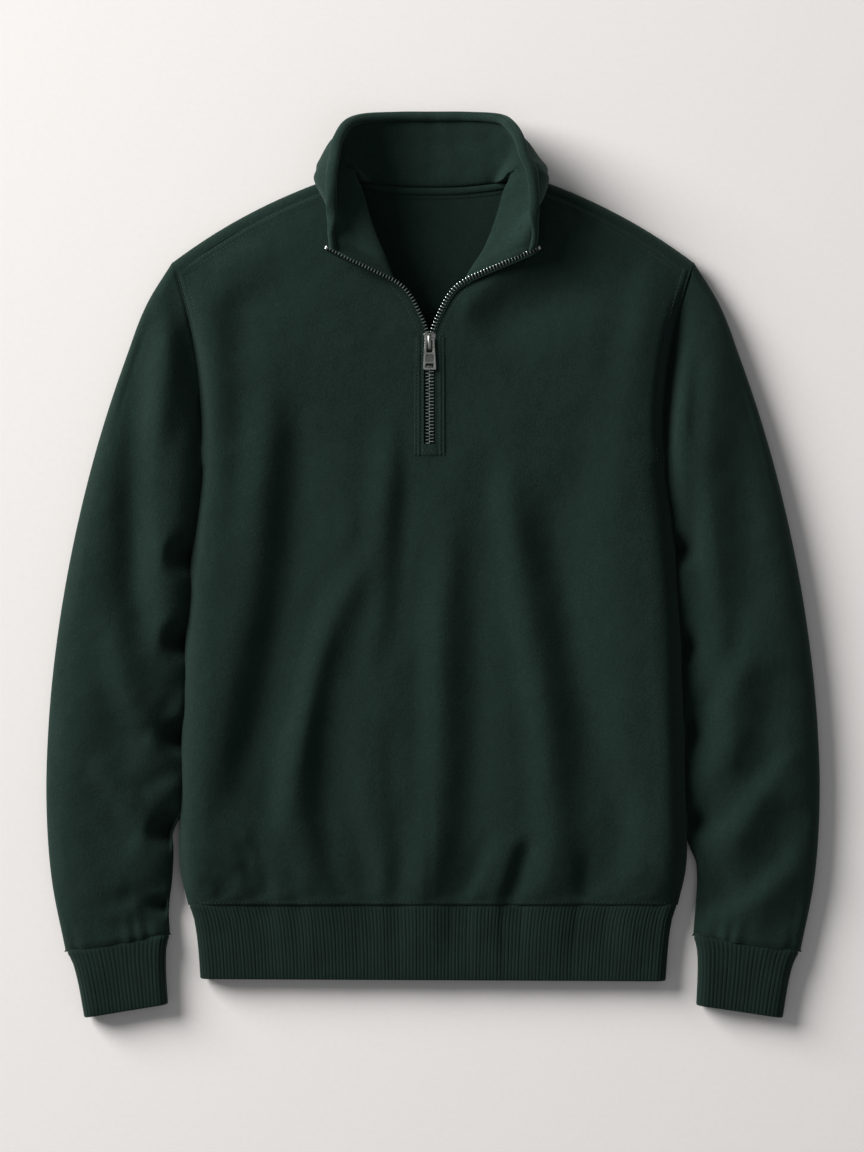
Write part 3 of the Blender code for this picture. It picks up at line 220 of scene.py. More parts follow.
# A slope of cloth along a line: it faces the window where `tilt` is above 0 and away from it where below.
# Each line runs through (x, y, share of the tilt), in millimetres.
Slope = namedtuple("Slope", "width tilt line")
FRONT_SLOPES = [
    Slope(14, 0.22, [(-156, 165, 0.7), (-156, 102, 1.0), (-160, 58, 0.8), (-166, 14, 0.4)]),
    Slope(13, -0.52, [(-125, 160, 0.3), (-128, 100, 0.7), (-132, 14, 1.0), (-141, -29, 1.0), (-153, -73, 1.0),
                      (-163, -117, 1.0), (-172, -161, 1.0), (-179, -204, 0.9), (-187, -240, 0.5)]),
    Slope(11, 0.46, [(-36, 148, 0.4), (-46, 102, 0.8), (-51, 58, 1.0), (-57, 20, 0.9), (-77, -12, 0.8),
                     (-94, -38, 0.8), (-103, -73, 0.9), (-116, -117, 1.0), (-128, -161, 1.0), (-134, -204, 1.0),
                     (-136, -235, 0.6), (-128, -270, 0.3)]),
    Slope(9, 0.20, [(-54, 14, 0.8), (-51, -29, 1.0), (-59, -73, 0.7), (-64, -100, 0.3)]),
    Slope(10, -0.46, [(-72, -36, 0.6), (-83, -73, 1.0), (-92, -117, 1.0), (-99, -161, 1.0), (-101, -204, 1.0),
                      (-94, -240, 1.0), (-80, -268, 1.0), (-70, -292, 1.0), (-62, -330, 1.0)]),
    Slope(8, -0.22, [(-25, 110, 0.6), (-29, 76, 1.0), (-32, 14, 1.0), (-35, -29, 0.9), (-36, -90, 0.3)]),
    Slope(10, 0.26, [(-70, -110, 0.3), (-72, -161, 0.6), (-66, -204, 1.0), (-60, -231, 1.0), (-53, -266, 0.9),
                     (-52, -325, 0.8)]),
    Slope(7, -0.20, [(-36, -110, 0.5), (-42, -161, 0.8), (-39, -204, 0.8), (-36, -248, 0.8), (-40, -320, 0.8)]),
    Slope(12, 0.33, [(3, 70, 0.3), (4, 14, 0.7), (-1, -29, 1.0), (-3, -73, 1.0), (-1, -161, 1.0), (-3, -204, 1.0),
                     (-10, -248, 1.0), (-18, -274, 1.0), (-30, -330, 0.9)]),
    Slope(11, -0.36, [(21, 102, 0.4), (27, 30, 0.5), (28, -73, 0.7), (28, -161, 0.8), (25, -204, 1.0),
                      (21, -239, 1.0), (15, -274, 1.0), (0, -330, 1.0)]),
    Slope(11, 0.30, [(50, 128, 0.5), (56, 102, 0.9), (59, 58, 1.0), (66, -29, 0.8), (76, -73, 0.8),
                     (85, -117, 0.9), (94, -204, 1.0), (96, -231, 1.0), (91, -266, 1.0), (76, -325, 0.9)]),
    Slope(12, -0.44, [(80, 110, 0.3), (87, 58, 0.6), (92, 14, 0.7), (102, -29, 0.9), (111, -73, 1.0),
                      (122, -117, 1.0), (129, -161, 1.0), (135, -195, 1.0), (142, -225, 1.0), (137, -250, 1.0),
                      (129, -283, 1.0), (122, -325, 1.0)]),
    Slope(7, 0.42, [(60, -228, 0.6), (46, -257, 1.0), (36, -278, 1.0), (20, -315, 0.8)]),
    Slope(7, -0.50, [(82, -232, 0.5), (73, -257, 1.0), (67, -274, 1.0), (48, -315, 1.0)]),
    Slope(20, 0.20, [(150, 150, 0.6), (144, 80, 1.0), (131, 32, 1.0), (140, -10, 0.5), (146, -40, 0.3)]),
    Slope(14, 0.22, [(144, -90, 0.5), (148, -117, 0.8), (159, -161, 0.9), (171, -204, 1.0), (172, -248, 1.0),
                     (157, -283, 1.0), (140, -325, 0.9)]),
    Slope(12, 0.25, [(184, 282, 0.4), (176, 240, 1.0), (172, 207, 1.0), (165, 163, 0.6), (160, 130, 0.3)]),
    Slope(8, -0.36, [(212, -60, 0.3), (213, -117, 1.0), (214, -204, 1.0), (211, -290, 0.6)]),
    Slope(10, -0.78, [(-187, 252, 0.6), (-186, 215, 1.0), (-181, 150, 1.0), (-181, 95, 0.7), (-182, 50, 0.3)]),
    Slope(6, -0.42, [(-210, -246, 0.6), (-196, -254, 1.0), (-182, -261, 1.0), (-164, -268, 0.6)]),
    Slope(6, 0.30, [(-206, -282, 0.7), (-188, -284, 1.0), (-168, -285, 0.7)]),
    Slope(6, -0.45, [(-164, -226, 0.5), (-153, -262, 1.0), (-146, -310, 1.0)]),
    Slope(6, 0.28, [(-120, -262, 0.5), (-114, -284, 1.0), (-110, -310, 0.8)]),
    Slope(6, -0.36, [(186, -258, 0.5), (200, -264, 1.0), (214, -272, 0.8)]),
    Slope(5, 0.22, [(156, -282, 0.6), (176, -285, 1.0), (196, -286, 0.7)]),
    Slope(9, 0.20, [(-196, 262, 0.5), (-170, 276, 1.0), (-140, 284, 0.5)]),
    Slope(9, -0.22, [(-186, 232, 0.5), (-160, 246, 1.0), (-128, 262, 0.5)]),
    Slope(10, -0.20, [(-92, 262, 0.5), (-74, 226, 1.0), (-52, 190, 0.5)]),
    Slope(14, -0.72, [(22, 200, 0.5), (44, 228, 1.0), (82, 250, 1.0), (120, 266, 0.8), (152, 284, 0.4)]),
]
SLEEVE_SLOPES_LEFT = [
    Slope(13, 1.05, [(-235, 240, 0.3), (-243, 189, 0.6), (-248, 146, 0.9), (-250, 102, 1.0), (-251, 58, 1.0),
                     (-250, 14, 1.0), (-248, -29, 0.9), (-241, -64, 0.8), (-234, -90, 0.4)]),
    Slope(8, -0.30, [(-231, 262, 0.6), (-227, 215, 1.0), (-221, 170, 0.5), (-217, 130, 0.2)]),
    Slope(12, 0.50, [(-226, 130, 0.3), (-229, 90, 0.9), (-231, 20, 1.0), (-229, -30, 0.8), (-224, -64, 0.4)]),
    Slope(14, -0.22, [(-266, 120, 0.4), (-276, 70, 1.0), (-284, 25, 1.0), (-291, -25, 0.8), (-288, -56, 0.4)]),
    Slope(10, -0.36, [(-270, -36, 0.5), (-262, -72, 1.0), (-251, -104, 1.0), (-244, -122, 0.5)]),
    Slope(11, 0.42, [(-284, -48, 0.4), (-280, -90, 0.9), (-268, -125, 1.0), (-248, -154, 0.8)]),
    Slope(8, 0.42, [(-254, -160, 0.5), (-236, -138, 1.0), (-221, -117, 1.0), (-210, -102, 0.8)]),
    Slope(12, -0.32, [(-308, -112, 0.5), (-296, -145, 1.0), (-276, -172, 1.0), (-258, -184, 0.5)]),
    Slope(10, 0.38, [(-304, -168, 0.5), (-285, -195, 1.0), (-262, -225, 1.0), (-248, -240, 0.5)]),
    Slope(8, 0.38, [(-256, -206, 0.5), (-240, -194, 1.0), (-226, -186, 1.0), (-212, -178, 0.8)]),
    Slope(13, -0.32, [(-324, -198, 0.5), (-306, -232, 1.0), (-284, -257, 1.0), (-258, -266, 0.6)]),
    Slope(7, 0.36, [(-292, -302, 0.4), (-262, -293, 1.0), (-236, -283, 1.0), (-218, -276, 0.8)]),
    Slope(5, 0.26, [(-290, -323, 0.5), (-262, -318, 1.0), (-236, -313, 0.8)]),
]
SLEEVE_SLOPES_RIGHT = [
    Slope(15, -0.46, [(241, 222, 0.4), (247, 189, 0.7), (251, 102, 1.0), (253, 14, 1.0), (250, -29, 1.0),
                      (246, -76, 1.0), (238, -108, 0.7)]),
    Slope(8, -0.52, [(221, 215, 0.4), (223, 165, 1.0), (222, 95, 1.0), (224, 10, 1.0), (227, -56, 0.7)]),
    Slope(9, 0.32, [(216, -138, 0.8), (238, -126, 1.0), (247, -117, 1.0), (262, -90, 1.0), (272, -62, 0.7),
                    (278, -24, 0.3)]),
    Slope(10, -0.75, [(286, -72, 0.4), (280, -116, 0.9), (271, -156, 1.0), (251, -187, 1.0), (230, -218, 0.8)]),
    Slope(8, 0.32, [(220, -236, 0.8), (246, -230, 1.0), (256, -226, 1.0), (277, -200, 1.0), (299, -174, 0.8),
                    (314, -146, 0.4)]),
    Slope(11, -0.66, [(306, -190, 0.5), (293, -215, 1.0), (273, -248, 1.0), (251, -266, 1.0), (230, -284, 0.8)]),
    Slope(8, 0.30, [(224, -308, 0.8), (250, -300, 1.0), (262, -294, 1.0), (286, -279, 1.0), (308, -257, 0.7),
                    (320, -238, 0.4)]),
    Slope(9, -0.45, [(316, -266, 0.5), (300, -295, 1.0), (280, -322, 0.8)]),
    Slope(16, 0.14, [(262, 180, 0.5), (276, 100, 1.0), (284, 20, 1.0), (292, -50, 0.6)]),
]
# short ridges and troughs above the hem's seam: x, lean, length, width, height
HEM_PUCKERS = [
    (-0.198, 0.006, 0.030, 0.006, 0.0014), (-0.186, 0.004, 0.034, 0.005, -0.0022),
    (-0.170, 0.004, 0.026, 0.006, 0.0012), (-0.150, 0.002, 0.040, 0.007, -0.0020),
    (-0.128, 0.000, 0.028, 0.007, 0.0014), (-0.104, -0.003, 0.030, 0.006, -0.0012),
    (-0.078, -0.004, 0.042, 0.008, -0.0018), (-0.056, 0.002, 0.024, 0.006, 0.0012),
    (-0.030, 0.003, 0.030, 0.007, -0.0010), (-0.006, 0.002, 0.026, 0.007, 0.0010),
    (0.014, 0.002, 0.034, 0.007, -0.0014), (0.040, -0.002, 0.026, 0.007, 0.0012),
    (0.066, -0.003, 0.036, 0.007, -0.0020), (0.090, 0.002, 0.026, 0.006, 0.0012),
    (0.112, 0.003, 0.030, 0.006, -0.0010), (0.130, 0.003, 0.038, 0.007, -0.0018),
    (0.152, -0.002, 0.026, 0.006, 0.0012), (0.172, -0.004, 0.030, 0.006, -0.0014),
    (0.192, -0.006, 0.028, 0.006, 0.0014),
]
# pockets where the sleeve bunches beside the body
SLEEVE_CREASES_LEFT = table(
    Crease, (-0.200, 0.004, -0.233, 0.012, 0.0130, -0.0230),
    (-0.202, -0.070, -0.237, -0.062, 0.0125, -0.0220), (-0.204, -0.154, -0.242, -0.144, 0.0125, -0.0210),
    (-0.210, -0.236, -0.248, -0.228, 0.0110, -0.0190), (-0.218, -0.300, -0.256, -0.293, 0.0070, -0.0130),
)
SLEEVE_CREASES_RIGHT = table(
    Crease, (0.202, 0.012, 0.232, 0.018, 0.0100, -0.0190), (0.204, -0.074, 0.234, -0.066, 0.0100, -0.0190),
    (0.206, -0.150, 0.236, -0.143, 0.0095, -0.0170), (0.218, -0.224, 0.244, -0.219, 0.0080, -0.0100),
)
BODY_EASE = 0.0050  # how much wider each side of the body lies below the armpit
SHOWN_SIDE = [
    Outline(row.y, row.half + BODY_EASE * min(1.0, (TORSO_SIDE[-1].y - row.y) / 0.13, (row.y + 0.298) / 0.040))
    for row in TORSO_SIDE
]
NARROW = 8  # the widest slope in millimetres that stays as it is where it faces away from the window
DARK_SPREAD = 1.7  # how much wider, and how much gentler, a broader one is there
DARK_SHARE = 0.62
SLOPE_FADE = 0.16
SLOPE_SAMPLES = 120
FROM_WINDOW = np.array([0.845, -0.535])  # the way its light runs, in plan
UP = np.array([0.0, 0.0, 1.0])
ARMHOLE_LENGTH = math.dist(PIT, SHOULDER_POINT)
ARMHOLE_CURL = 0.024  # length over which the armhole rises from the armpit
SHOULDER_SHARE = 1 - SHOULDER_ROLL / ARMHOLE_LENGTH
ZIP_CLEAR = ZIP_WIDE / 2 + 1.8 * SEAM_GAP
STITCH_PITCH = 0.0033
STITCH_LONG = 0.0027
STITCH_WIDE = 0.00062
STITCH_SIDES = 6
STITCH = ((-0.5, 0.45), (-0.38, 0.9), (0.0, 1.0), (0.38, 0.9), (0.5, 0.45))  # share of its length, and width
TOOTH_PITCH = 0.0029
ToothRow = namedtuple("ToothRow", "at wide high")
TOOTH = table(ToothRow, (-0.50, 0.62, 0.80), (-0.18, 0.85, 1.0), (0.10, 0.70, 0.92), (0.34, 1.0, 0.96), (0.50, 0.70, 0.55))
CHAIN_TOOTH = (0.0040, 0.00128, 0.0016)  # length, width and height
FREE_TOOTH = (0.0034, 0.00132, 0.0017)
ARM_STITCHES = (0.0018, 0.0072)  # distance of each line of stitches from its seam
SHOULDER_STITCHES = (0.0018, 0.0066)
HEM_STITCHES = (0.0020,)
CUFF_STITCHES = (0.0020,)
VEE_STITCHES = (0.0052,)
PLACKET_STITCHES = (0.0022, 0.0063)
FURROW_HALF = 0.0009  # half width of the furrow under a line of stitches
ARM_RIDGE = 0.0011  # height of each seam's allowance
SHOULDER_RIDGE = 0.0009
HEM_RIDGE = 0.0010
CUFF_RIDGE = 0.0008
ARM_VALLEYS = (0.0080, 0.0130)  # extra depth of the valley along each armhole, left and right
FRONT_VALLEY_WIDE = (0.0055, 0.0060)
SLEEVE_VALLEY_WIDE = (0.0190, 0.0170)
EDGE_LIFTS = (0.0062, 0.0055)  # of the body's edges, which stand up beside the sleeves
EDGE_TUCK = (0.0050, 0.0020)  # how far each sleeve's edge runs under the body
INNER_CREASE = 0.4  # share of each ring's crease that lowers its inner side
PIT_SMOOTHING = 16  # passes over the rows by the armpit
ARM_VALLEY_TOP = 0.54  # share of the armhole where the valleys start to fade
SLEEVE_SEAM_DIP = 0.0012
CUFF_RING_STEP = 0.029  # length of sleeve to a ring at the cuff
HUG_ENDS = (-0.238, -0.262)  # y where each sleeve starts to lie against the body
POCKET_SHARE = 0.1  # share of each ring's crease that draws its inner edge in
INNER_FALLS = (0.06, 0.62)  # how much lower the sleeve lies beside the body
COLLAR_FURROW = 0.868  # share of the collar's depth where the roll along its top is stitched
COLLAR_FLARE = (0.0, 0.0, 0.0005, 0.0015, 0.0023, 0.0020, 0.0010)  # how far the seam of each station spreads
# extra half thickness at the seam
COLLAR_FOOT = (0.0, 0.0, 0.0003, 0.0025, 0.0060, 0.0100, 0.0104, 0.0082, 0.0048, 0.0022, 0.0006, 0.0)
COLLAR_LEAN = 0.0078  # of the collar's right side towards the neck
COLLAR_LEANS = (0.0, 0.0, 0.05, 0.1, 0.25, 0.5, 0.8, 1.0, 0.9, 0.5, 0.15, 0.0)
COLLAR_STITCH_DIP = 0.0010
LEAF_LIFT = 0.0120  # of the left leaf's foot, so that it catches the light
COLLAR_STITCHES = (0.0052, 0.0092)  # distance of each line of stitches from the zip
RIM_RADIUS = 0.0047  # of the roll stitched along the collar's top
RIB_WANDER = 0.00025  # how far a rib strays from its line
RIB_SHOWN = 0.78
RIB_TUCK = ((-0.0026, 0.0022), (-0.0012, 0.0014), (0.0, 0.0008), (0.0010, 0.0003), (0.0022, 0.0))  # place, depth
HEM_WAIST = (0.0022, 0.0010)  # how far the middle draws in, and how far the seam stands out
CUFF_WAIST = (0.0020, 0.0014)
HEM_FOLD = 0.0016  # the most that a fold moves the hem band
TapeRow = namedtuple("TapeRow", "inside z")
NECK_TAPE = table(
    TapeRow, (0.0008, 0.0027), (0.0012, 0.0034), (0.0020, 0.0040), (0.0034, 0.0042), (0.0048, 0.0040),
    (0.0060, 0.0034), (0.0066, 0.0027),
)
TAPE_OUT = 0.0026
TAPE_IN = 0.0008
SLIDER_PLATE = 0.0012
CHAIN_TOP = ZIP_TOP - 0.0004
HINGE_Y = SLIDER_Y - 0.0015
HINGE_RISE = 0.0014
PLATE_TOP = CHAIN_TOP + SEAM_GAP + SLIDER_PLATE
SLIDER_ROWS = (  # y from the slider's middle, and half width
    (-0.0130, 0.0030), (-0.0085, 0.0038), (-0.0055, 0.0045), (-0.0020, 0.0053), (0.0015, 0.0057), (0.0035, 0.0047),
)
Box = namedtuple("Box", "top bottom half flare radius")  # from the hinge's axis
SLIDER_WELL = Box(-0.0014, -0.0124, 0.0022, 0.0003, 0.0008)
PULL_EDGE = Box(0.0009, -0.0270, 0.0040, 0.0016, 0.0009)
PULL_SLOT = Box(-0.0010, -0.0122, 0.0024, 0.0003, 0.0009)
PULL_WINDOW = Box(-0.0212, -0.0252, 0.0034, 0.0004, 0.0006)
FRAME_EDGE = Box(0.0008, -0.0269, 0.0039, 0.0016, 0.0008)
FRAME_SLOT = Box(-0.0010, -0.0122, 0.0027, 0.0005, 0.0009)
FRAME_FACE = Box(-0.0134, -0.0206, 0.0036, 0.0004, 0.0005)
FRAME_WINDOW = Box(-0.0214, -0.0254, 0.0038, 0.0003, 0.0005)
WINDOW_FLOOR = Box(-0.0210, -0.0254, 0.0036, 0.0004, 0.0005)
WINDOW_SILL = Box(-0.0236, -0.0254, 0.0022, 0.0002, 0.0008)
TAB_HALF = 0.00065  # half thickness
Plate = namedtuple("Plate", "name look low high boxes")
PULL_PLATES = table(
    Plate,
    # the tab's face in darkened nickel: painted shade inside the raised frame
    ("pull_tab", "face", -TAB_HALF, TAB_HALF, (PULL_EDGE, PULL_SLOT, PULL_WINDOW)),
    ("pull_frame", "metal", TAB_HALF - 0.0002, TAB_HALF + 0.0002, (FRAME_EDGE, FRAME_SLOT, FRAME_FACE, FRAME_WINDOW)),
    # the window's floor in near-black nickel: painted shade under the window
    ("pull_window_floor", "recess", -TAB_HALF, -TAB_HALF + 0.0003, (WINDOW_FLOOR,)),
    ("pull_window_sill", "face", -TAB_HALF, TAB_HALF - 0.0004, (WINDOW_SILL,)),
)
SHELL = 0.0014  # thickness of the cloth shown

# Fineness
FRONT_FINE = 6  # fine rows to a row of the solid
SIDE_COLUMNS = 92
PLACKET_COLUMNS = 7
SLEEVE_FINE = 8
SLEEVE_FINE_SPANS = (90, 26)
RIB_SAMPLES = 6
RIB_ROWS = 9
COLLAR_FINE = 66
CHAIN_SAMPLES = 60
VEE_SAMPLES = 90
TAPE_COLUMNS = 6
BACK_CURL_STEPS = 5
BACK_SHOULDER_STEPS = 26
BACK_NECK_STEPS = 12
BACK_BODY_STEPS = 24
BACK_ARM_STEPS = 18
BACK_ROLL_STEPS = 12

# Colours, linear
FLEECE_GREEN = (0.0080, 0.0188, 0.0151)
# painted light: the body's fleece green made lighter for the collar, so that its leaf in shade reads brighter
COLLAR_GREEN_LIGHTENED = (0.0112, 0.0252, 0.0206)
RIB_GREEN = (0.0044, 0.0138, 0.0104)
TAPE_GREEN = (0.0072, 0.0172, 0.0138)
BINDING_GREEN = (0.0095, 0.0230, 0.0180)
THREAD_GREEN = (0.0120, 0.0278, 0.0222)
NICKEL = (0.36, 0.37, 0.35)
TEETH_METAL = (0.33, 0.385, 0.355)
# painted shade: near-black nickel for the slider's well and the pull window's floor, standing in for the shade inside
# these hollows
RECESS_SHADE_METAL = (0.020, 0.024, 0.022)
# painted shade: the slider's nickel darkened for the pull's face and sill, which lie lower inside the brighter frame
FACE_SHADE_METAL = (0.17, 0.175, 0.165)
FLEECE_SHEEN = 0.10
SHEEN_TINT = (0.55, 0.85, 0.75)
FLOOR_TINT = (0.85, 0.825, 0.81)

# Light and camera
KEY_PLACE = (-4.45, 2.8, 2.85)
KEY_SIZE = 3.9
KEY_POWER = 600.0
KEY_COLOUR = (1.0, 0.985, 0.965)
FILL_PLACE = (0.5, -0.4, 3.4)
FILL_SIZE = 2.5
FILL_POWER = 7.0
FILL_COLOUR = (0.96, 0.98, 1.0)
WORLD_STRENGTH = 0.17
CAMERA_PLACE = (-0.0009, -0.0083, 6.0)
CAMERA_LENS = 214.0


# Curves, grids and meshes


def smooth_step(x):
    x = np.clip(x, 0.0, 1.0)
    return x * x * (3 - 2 * x)


def bell(x):
    return np.exp(-(x**2))


def smooth_curve(places, values, at):
    """Rows of `values` given at `places`, read at each of `at` along a smooth curve through them."""
    places, values, at = (np.asarray(given, float) for given in (places, values, at))
    steps = np.diff(places)
    slopes = np.diff(values, axis=0) / steps[:, None]
    tangents = np.vstack([slopes[:1], slopes, slopes[-1:]])
    weights = np.concatenate([[1.0], steps, [1.0]])[:, None]
    tangents = (tangents[:-1] * weights[1:] + tangents[1:] * weights[:-1]) / (weights[1:] + weights[:-1])
    at = np.clip(at, places[0], places[-1])
    k = np.clip(np.searchsorted(places, at, side="right") - 1, 0, len(steps) - 1)
    step = steps[k][:, None]
    t = (at - places[k])[:, None] / step
    return (
        (1 + 2 * t) * (1 - t) ** 2 * values[k]
        + t * (1 - t) ** 2 * step * tangents[k]
        + t * t * (3 - 2 * t) * values[k + 1]
        + t * t * (t - 1) * step * tangents[k + 1]
    )


def table_value(rows, at):
    """Values at `at` of a smooth curve through a table of (at, value) rows, in rising order."""
    rows = np.array(rows, float)
    found = smooth_curve(rows[:, 0], rows[:, 1:2], np.atleast_1d(at))[:, 0]
    return found if np.ndim(at) else float(found[0])


def read_along(values, lengths, at):
    """Rows of `values` given at `lengths`, read at each of `at` along straight lines between them."""
    return np.stack([np.interp(at, lengths, column) for column in values.T], axis=1)


def path_lengths(path):
    """The distance along a line of points to each of them."""
    return np.concatenate([[0], np.cumsum(np.linalg.norm(np.diff(path, axis=0), axis=1))])


def unit(vectors):
    return vectors / np.maximum(np.linalg.norm(vectors, axis=-1, keepdims=True), 1e-12)


def grid_normals(points, closed=False):
    """Normals of a grid of points, whose last column joins its first if it is `closed`."""
    along = np.gradient(points, axis=0)
    if closed:
        across = np.roll(points, -1, axis=1) - np.roll(points, 1, axis=1)
    else:
        across = np.gradient(points, axis=1)
    return unit(np.cross(across, along))


def ride(obj, slot, *nodes):
    """The piece goes with the garment's body and stands for the nodes named, which it hides. Its `slot` is not used.
    """
    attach(obj, "garment")
    if nodes:
        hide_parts(*nodes)
    return obj


def placed(name, data):
    obj = bpy.data.objects.new(name, data)
    bpy.context.scene.collection.objects.link(obj)
    return obj


def finished(name, bm, material, angle):
    """An object from a bmesh, its faces turned outwards and shaded smooth up to an angle."""
    bmesh.ops.recalc_face_normals(bm, faces=bm.faces)
    mesh = bpy.data.meshes.new(name)
    bm.to_mesh(mesh)
    bm.free()
    mesh.polygons.foreach_set("use_smooth", np.ones(len(mesh.polygons), bool))
    mesh.set_sharp_from_angle(angle=math.radians(angle))
    mesh.materials.append(material)
    return placed(name, mesh)


def bmesh_of(mesh):
    """A bmesh with the mesh's shape; the mesh itself goes."""
    bm = bmesh.new()
    bm.from_mesh(mesh)
    bpy.data.meshes.remove(mesh)
    return bm


def mesh_object(name, points, faces, material, angle=50):
    """A smooth-shaded object from points and faces, without the points that no face uses."""
    used = np.zeros(len(points), bool)
    used[[i for face in faces for i in face]] = True
    renumbered = np.cumsum(used) - 1
    mesh = bpy.data.meshes.new(name)
    mesh.from_pydata(points[used].tolist(), [], [renumbered[face].tolist() for face in faces])
    return finished(name, bmesh_of(mesh), material, angle)


def wall(name, outer, inner, material, present=None, closed=False, angle=50):
    """A closed solid between two grids of points that share one layout. Cells not `present` are left open,
    and `closed` joins the last column to the first."""
    rows, columns = outer.shape[:2]
    spans = columns if closed else columns - 1
    if present is None:
        present = np.ones((rows - 1, spans), bool)
    index = np.arange(rows * columns).reshape(rows, columns)
    index = np.hstack([index, index[:, :1]])[:, : spans + 1]
    corners = np.stack([index[:-1, :-1], index[:-1, 1:], index[1:, 1:], index[1:, :-1]], axis=-1)
    quads = corners[present]
    under = rows * columns
    faces = quads.tolist() + (quads[:, ::-1] + under).tolist()
    padded = np.zeros((rows + 1, spans + 2), bool)
    padded[1:-1, 1:-1] = present
    if closed:
        padded[:, 0], padded[:, -1] = padded[:, -2], padded[:, 1]
    beyond = (padded[:-2, 1:-1], padded[1:-1, 2:], padded[2:, 1:-1], padded[1:-1, :-2])
    for k, other in enumerate(beyond):
        edge = corners[present & ~other]
        a, b = edge[:, k], edge[:, (k + 1) % 4]
        faces += np.stack([b, a, a + under, b + under], axis=1).tolist()
    points = np.concatenate([outer.reshape(-1, 3), inner.reshape(-1, 3)])
    return mesh_object(name, points, faces, material, angle)


def swarm(name, shape, sides, places, axes, material, slot):
    """One piece from copies of a small lofted shape, set at `places` along their own three axes."""
    count = len(shape)
    faces = [list(range(sides))[::-1], list(range(count - sides, count))]
    for a in range(count - sides):
        b = a + 1 if (a + 1) % sides else a + 1 - sides
        faces.append([a, b, b + sides, a + sides])
    points = np.concatenate([place + shape @ np.array(own) for place, *own in zip(places, *axes)])
    faces = [[i + n * count for i in face] for n in range(len(places)) for face in faces]
    return ride(mesh_object(name, points, faces, material), slot)


# Relief


def crease_lift(creases, x, y):
    """Height that a table of creases adds at each point in plan."""
    lift = np.zeros_like(x)
    for c in creases:
        chord = np.array([c.to_x - c.from_x, c.to_y - c.from_y])
        length = np.linalg.norm(chord)
        along = ((x - c.from_x) * chord[0] + (y - c.from_y) * chord[1]) / length**2
        off = ((x - c.from_x) * -chord[1] + (y - c.from_y) * chord[0]) / length
        fade = smooth_step((along + 0.25) / 0.45) * smooth_step((1.15 - along) / 0.75)
        lift += c.depth * fade * bell(off / c.width)
    return lift


def slope_lift(slopes, x, y):
    """Height that a table of slopes adds at each point in plan: a rise across each line, which levels out
    beside it."""
    lift = np.zeros(x.size)
    place = np.stack([x.ravel(), y.ravel()], axis=1)
    for slope in slopes:
        rows = np.array(slope.line, float)
        lengths = path_lengths(rows[:, :2])
        line = smooth_curve(lengths, rows, np.linspace(0, lengths[-1], SLOPE_SAMPLES))
        spot, share = line[:, :2] / 1000, line[:, 2]
        along = unit(np.gradient(spot, axis=0))
        across = np.stack([along[:, 1], -along[:, 0]], axis=1)
        across *= 1 if np.mean(across @ FROM_WINDOW) > 0 else -1
        way = np.linspace(0, 1, SLOPE_SAMPLES)
        share = share * smooth_step(way / SLOPE_FADE) * smooth_step((1 - way) / SLOPE_FADE)
        dark = slope.tilt < 0 and slope.width > NARROW
        wide = slope.width / 1000 * (DARK_SPREAD if dark else 1)
        tilt = slope.tilt * (DARK_SHARE if dark else 1)
        reach = 4 * wide
        close = np.all((place > spot.min(axis=0) - reach) & (place < spot.max(axis=0) + reach), axis=1)
        close = np.flatnonzero(close)
        if not len(close):
            continue
        apart = place[close, None] - spot[None]
        nearest = np.argmin(np.sum(apart**2, axis=2), axis=1)
        offset = apart[np.arange(len(close)), nearest]
        off = np.sum(offset * across[nearest], axis=1) / wide
        past = np.sum(offset * along[nearest], axis=1) / wide
        lift[close] += tilt * wide * share[nearest] * off * np.exp(-(off**2 + past**2) / 2)
    return lift.reshape(x.shape)


def ripple(x, y, size, height, seed):
    """Gentle unevenness, the same on each run."""
    flat = np.stack([x.ravel() / size, y.ravel() / size, np.full(x.size, seed)], axis=1)
    return height * np.array([noise.noise(Vector(p)) for p in flat]).reshape(x.shape)


def fold_lift(x, y):
    """How far the main folds raise or lower the front at each point."""
    lift = np.zeros_like(x)
    for fold in FRONT_FOLDS:
        t = (fold.top_y - y) / (fold.top_y - fold.low_y)
        middle = (fold.top_y - fold.mid_y) / (fold.top_y - fold.low_y)
        bend = (fold.mid_x - fold.top_x - middle * (fold.low_x - fold.top_x)) / (middle * (middle - 1))
        spine = fold.top_x + t * (fold.low_x - fold.top_x) + bend * t * (t - 1)
        ends = smooth_step(t / FOLD_FADE) * smooth_step((1 - t) / FOLD_FADE)
        lift += fold.depth * ends * bell((x - spine) / fold.width)
    lift += slope_lift(FRONT_SLOPES, x, y)
    held_by_hem = 0.50 + 0.50 * smooth_step((y - HEM_SEAM_Y) / 0.025)
    from_zip = np.hypot(x - ZIP_X, np.maximum(0.0, PLACKET_FOOT_Y - y)) - PLACKET_HALF
    return lift * held_by_hem * smooth_step(from_zip / 0.020)


def hem_puckers(x, y):
    up = y - HEM_SEAM_Y
    lift = np.zeros_like(x)
    for middle, lean, length, width, height in HEM_PUCKERS:
        off = (x - middle - lean * up / length) / (width * (1 + up / length))
        lift += height * bell(off) * smooth_step((up - 0.004) / 0.006) * (1 - smooth_step(up / length))
    return lift


def seam_relief(distance, lines, ridge):
    """Relief of a sewn seam by the distance from it: a raised allowance with a furrow under each stitch line."""
    lift = ridge * (1 - smooth_step((distance - lines[-1]) / 0.0020))
    for line in lines:
        lift -= (ridge * 0.55 + 0.0003) * bell((distance - line) / FURROW_HALF)
    return lift * smooth_step(distance / 0.0008 + 0.35)


# Lines that the pieces share


def zip_shift(y):
    return 2 * ZIP_X * (1 - smooth_step((y - 0.25) / 0.03))


def mirrored(points):
    return np.stack([zip_shift(points[..., 1]) - points[..., 0], points[..., 1], points[..., 2]], axis=-1)


def armhole_point(share, clear=SEAM_GAP / 2):
    start, end = np.array(PIT), np.array(SHOULDER_POINT)
    along = end - start
    towards_body = np.array([along[1], -along[0]]) / np.linalg.norm(along)
    return start + share * along + towards_body * (ARMHOLE_BOW * 4 * share * (1 - share) + clear)


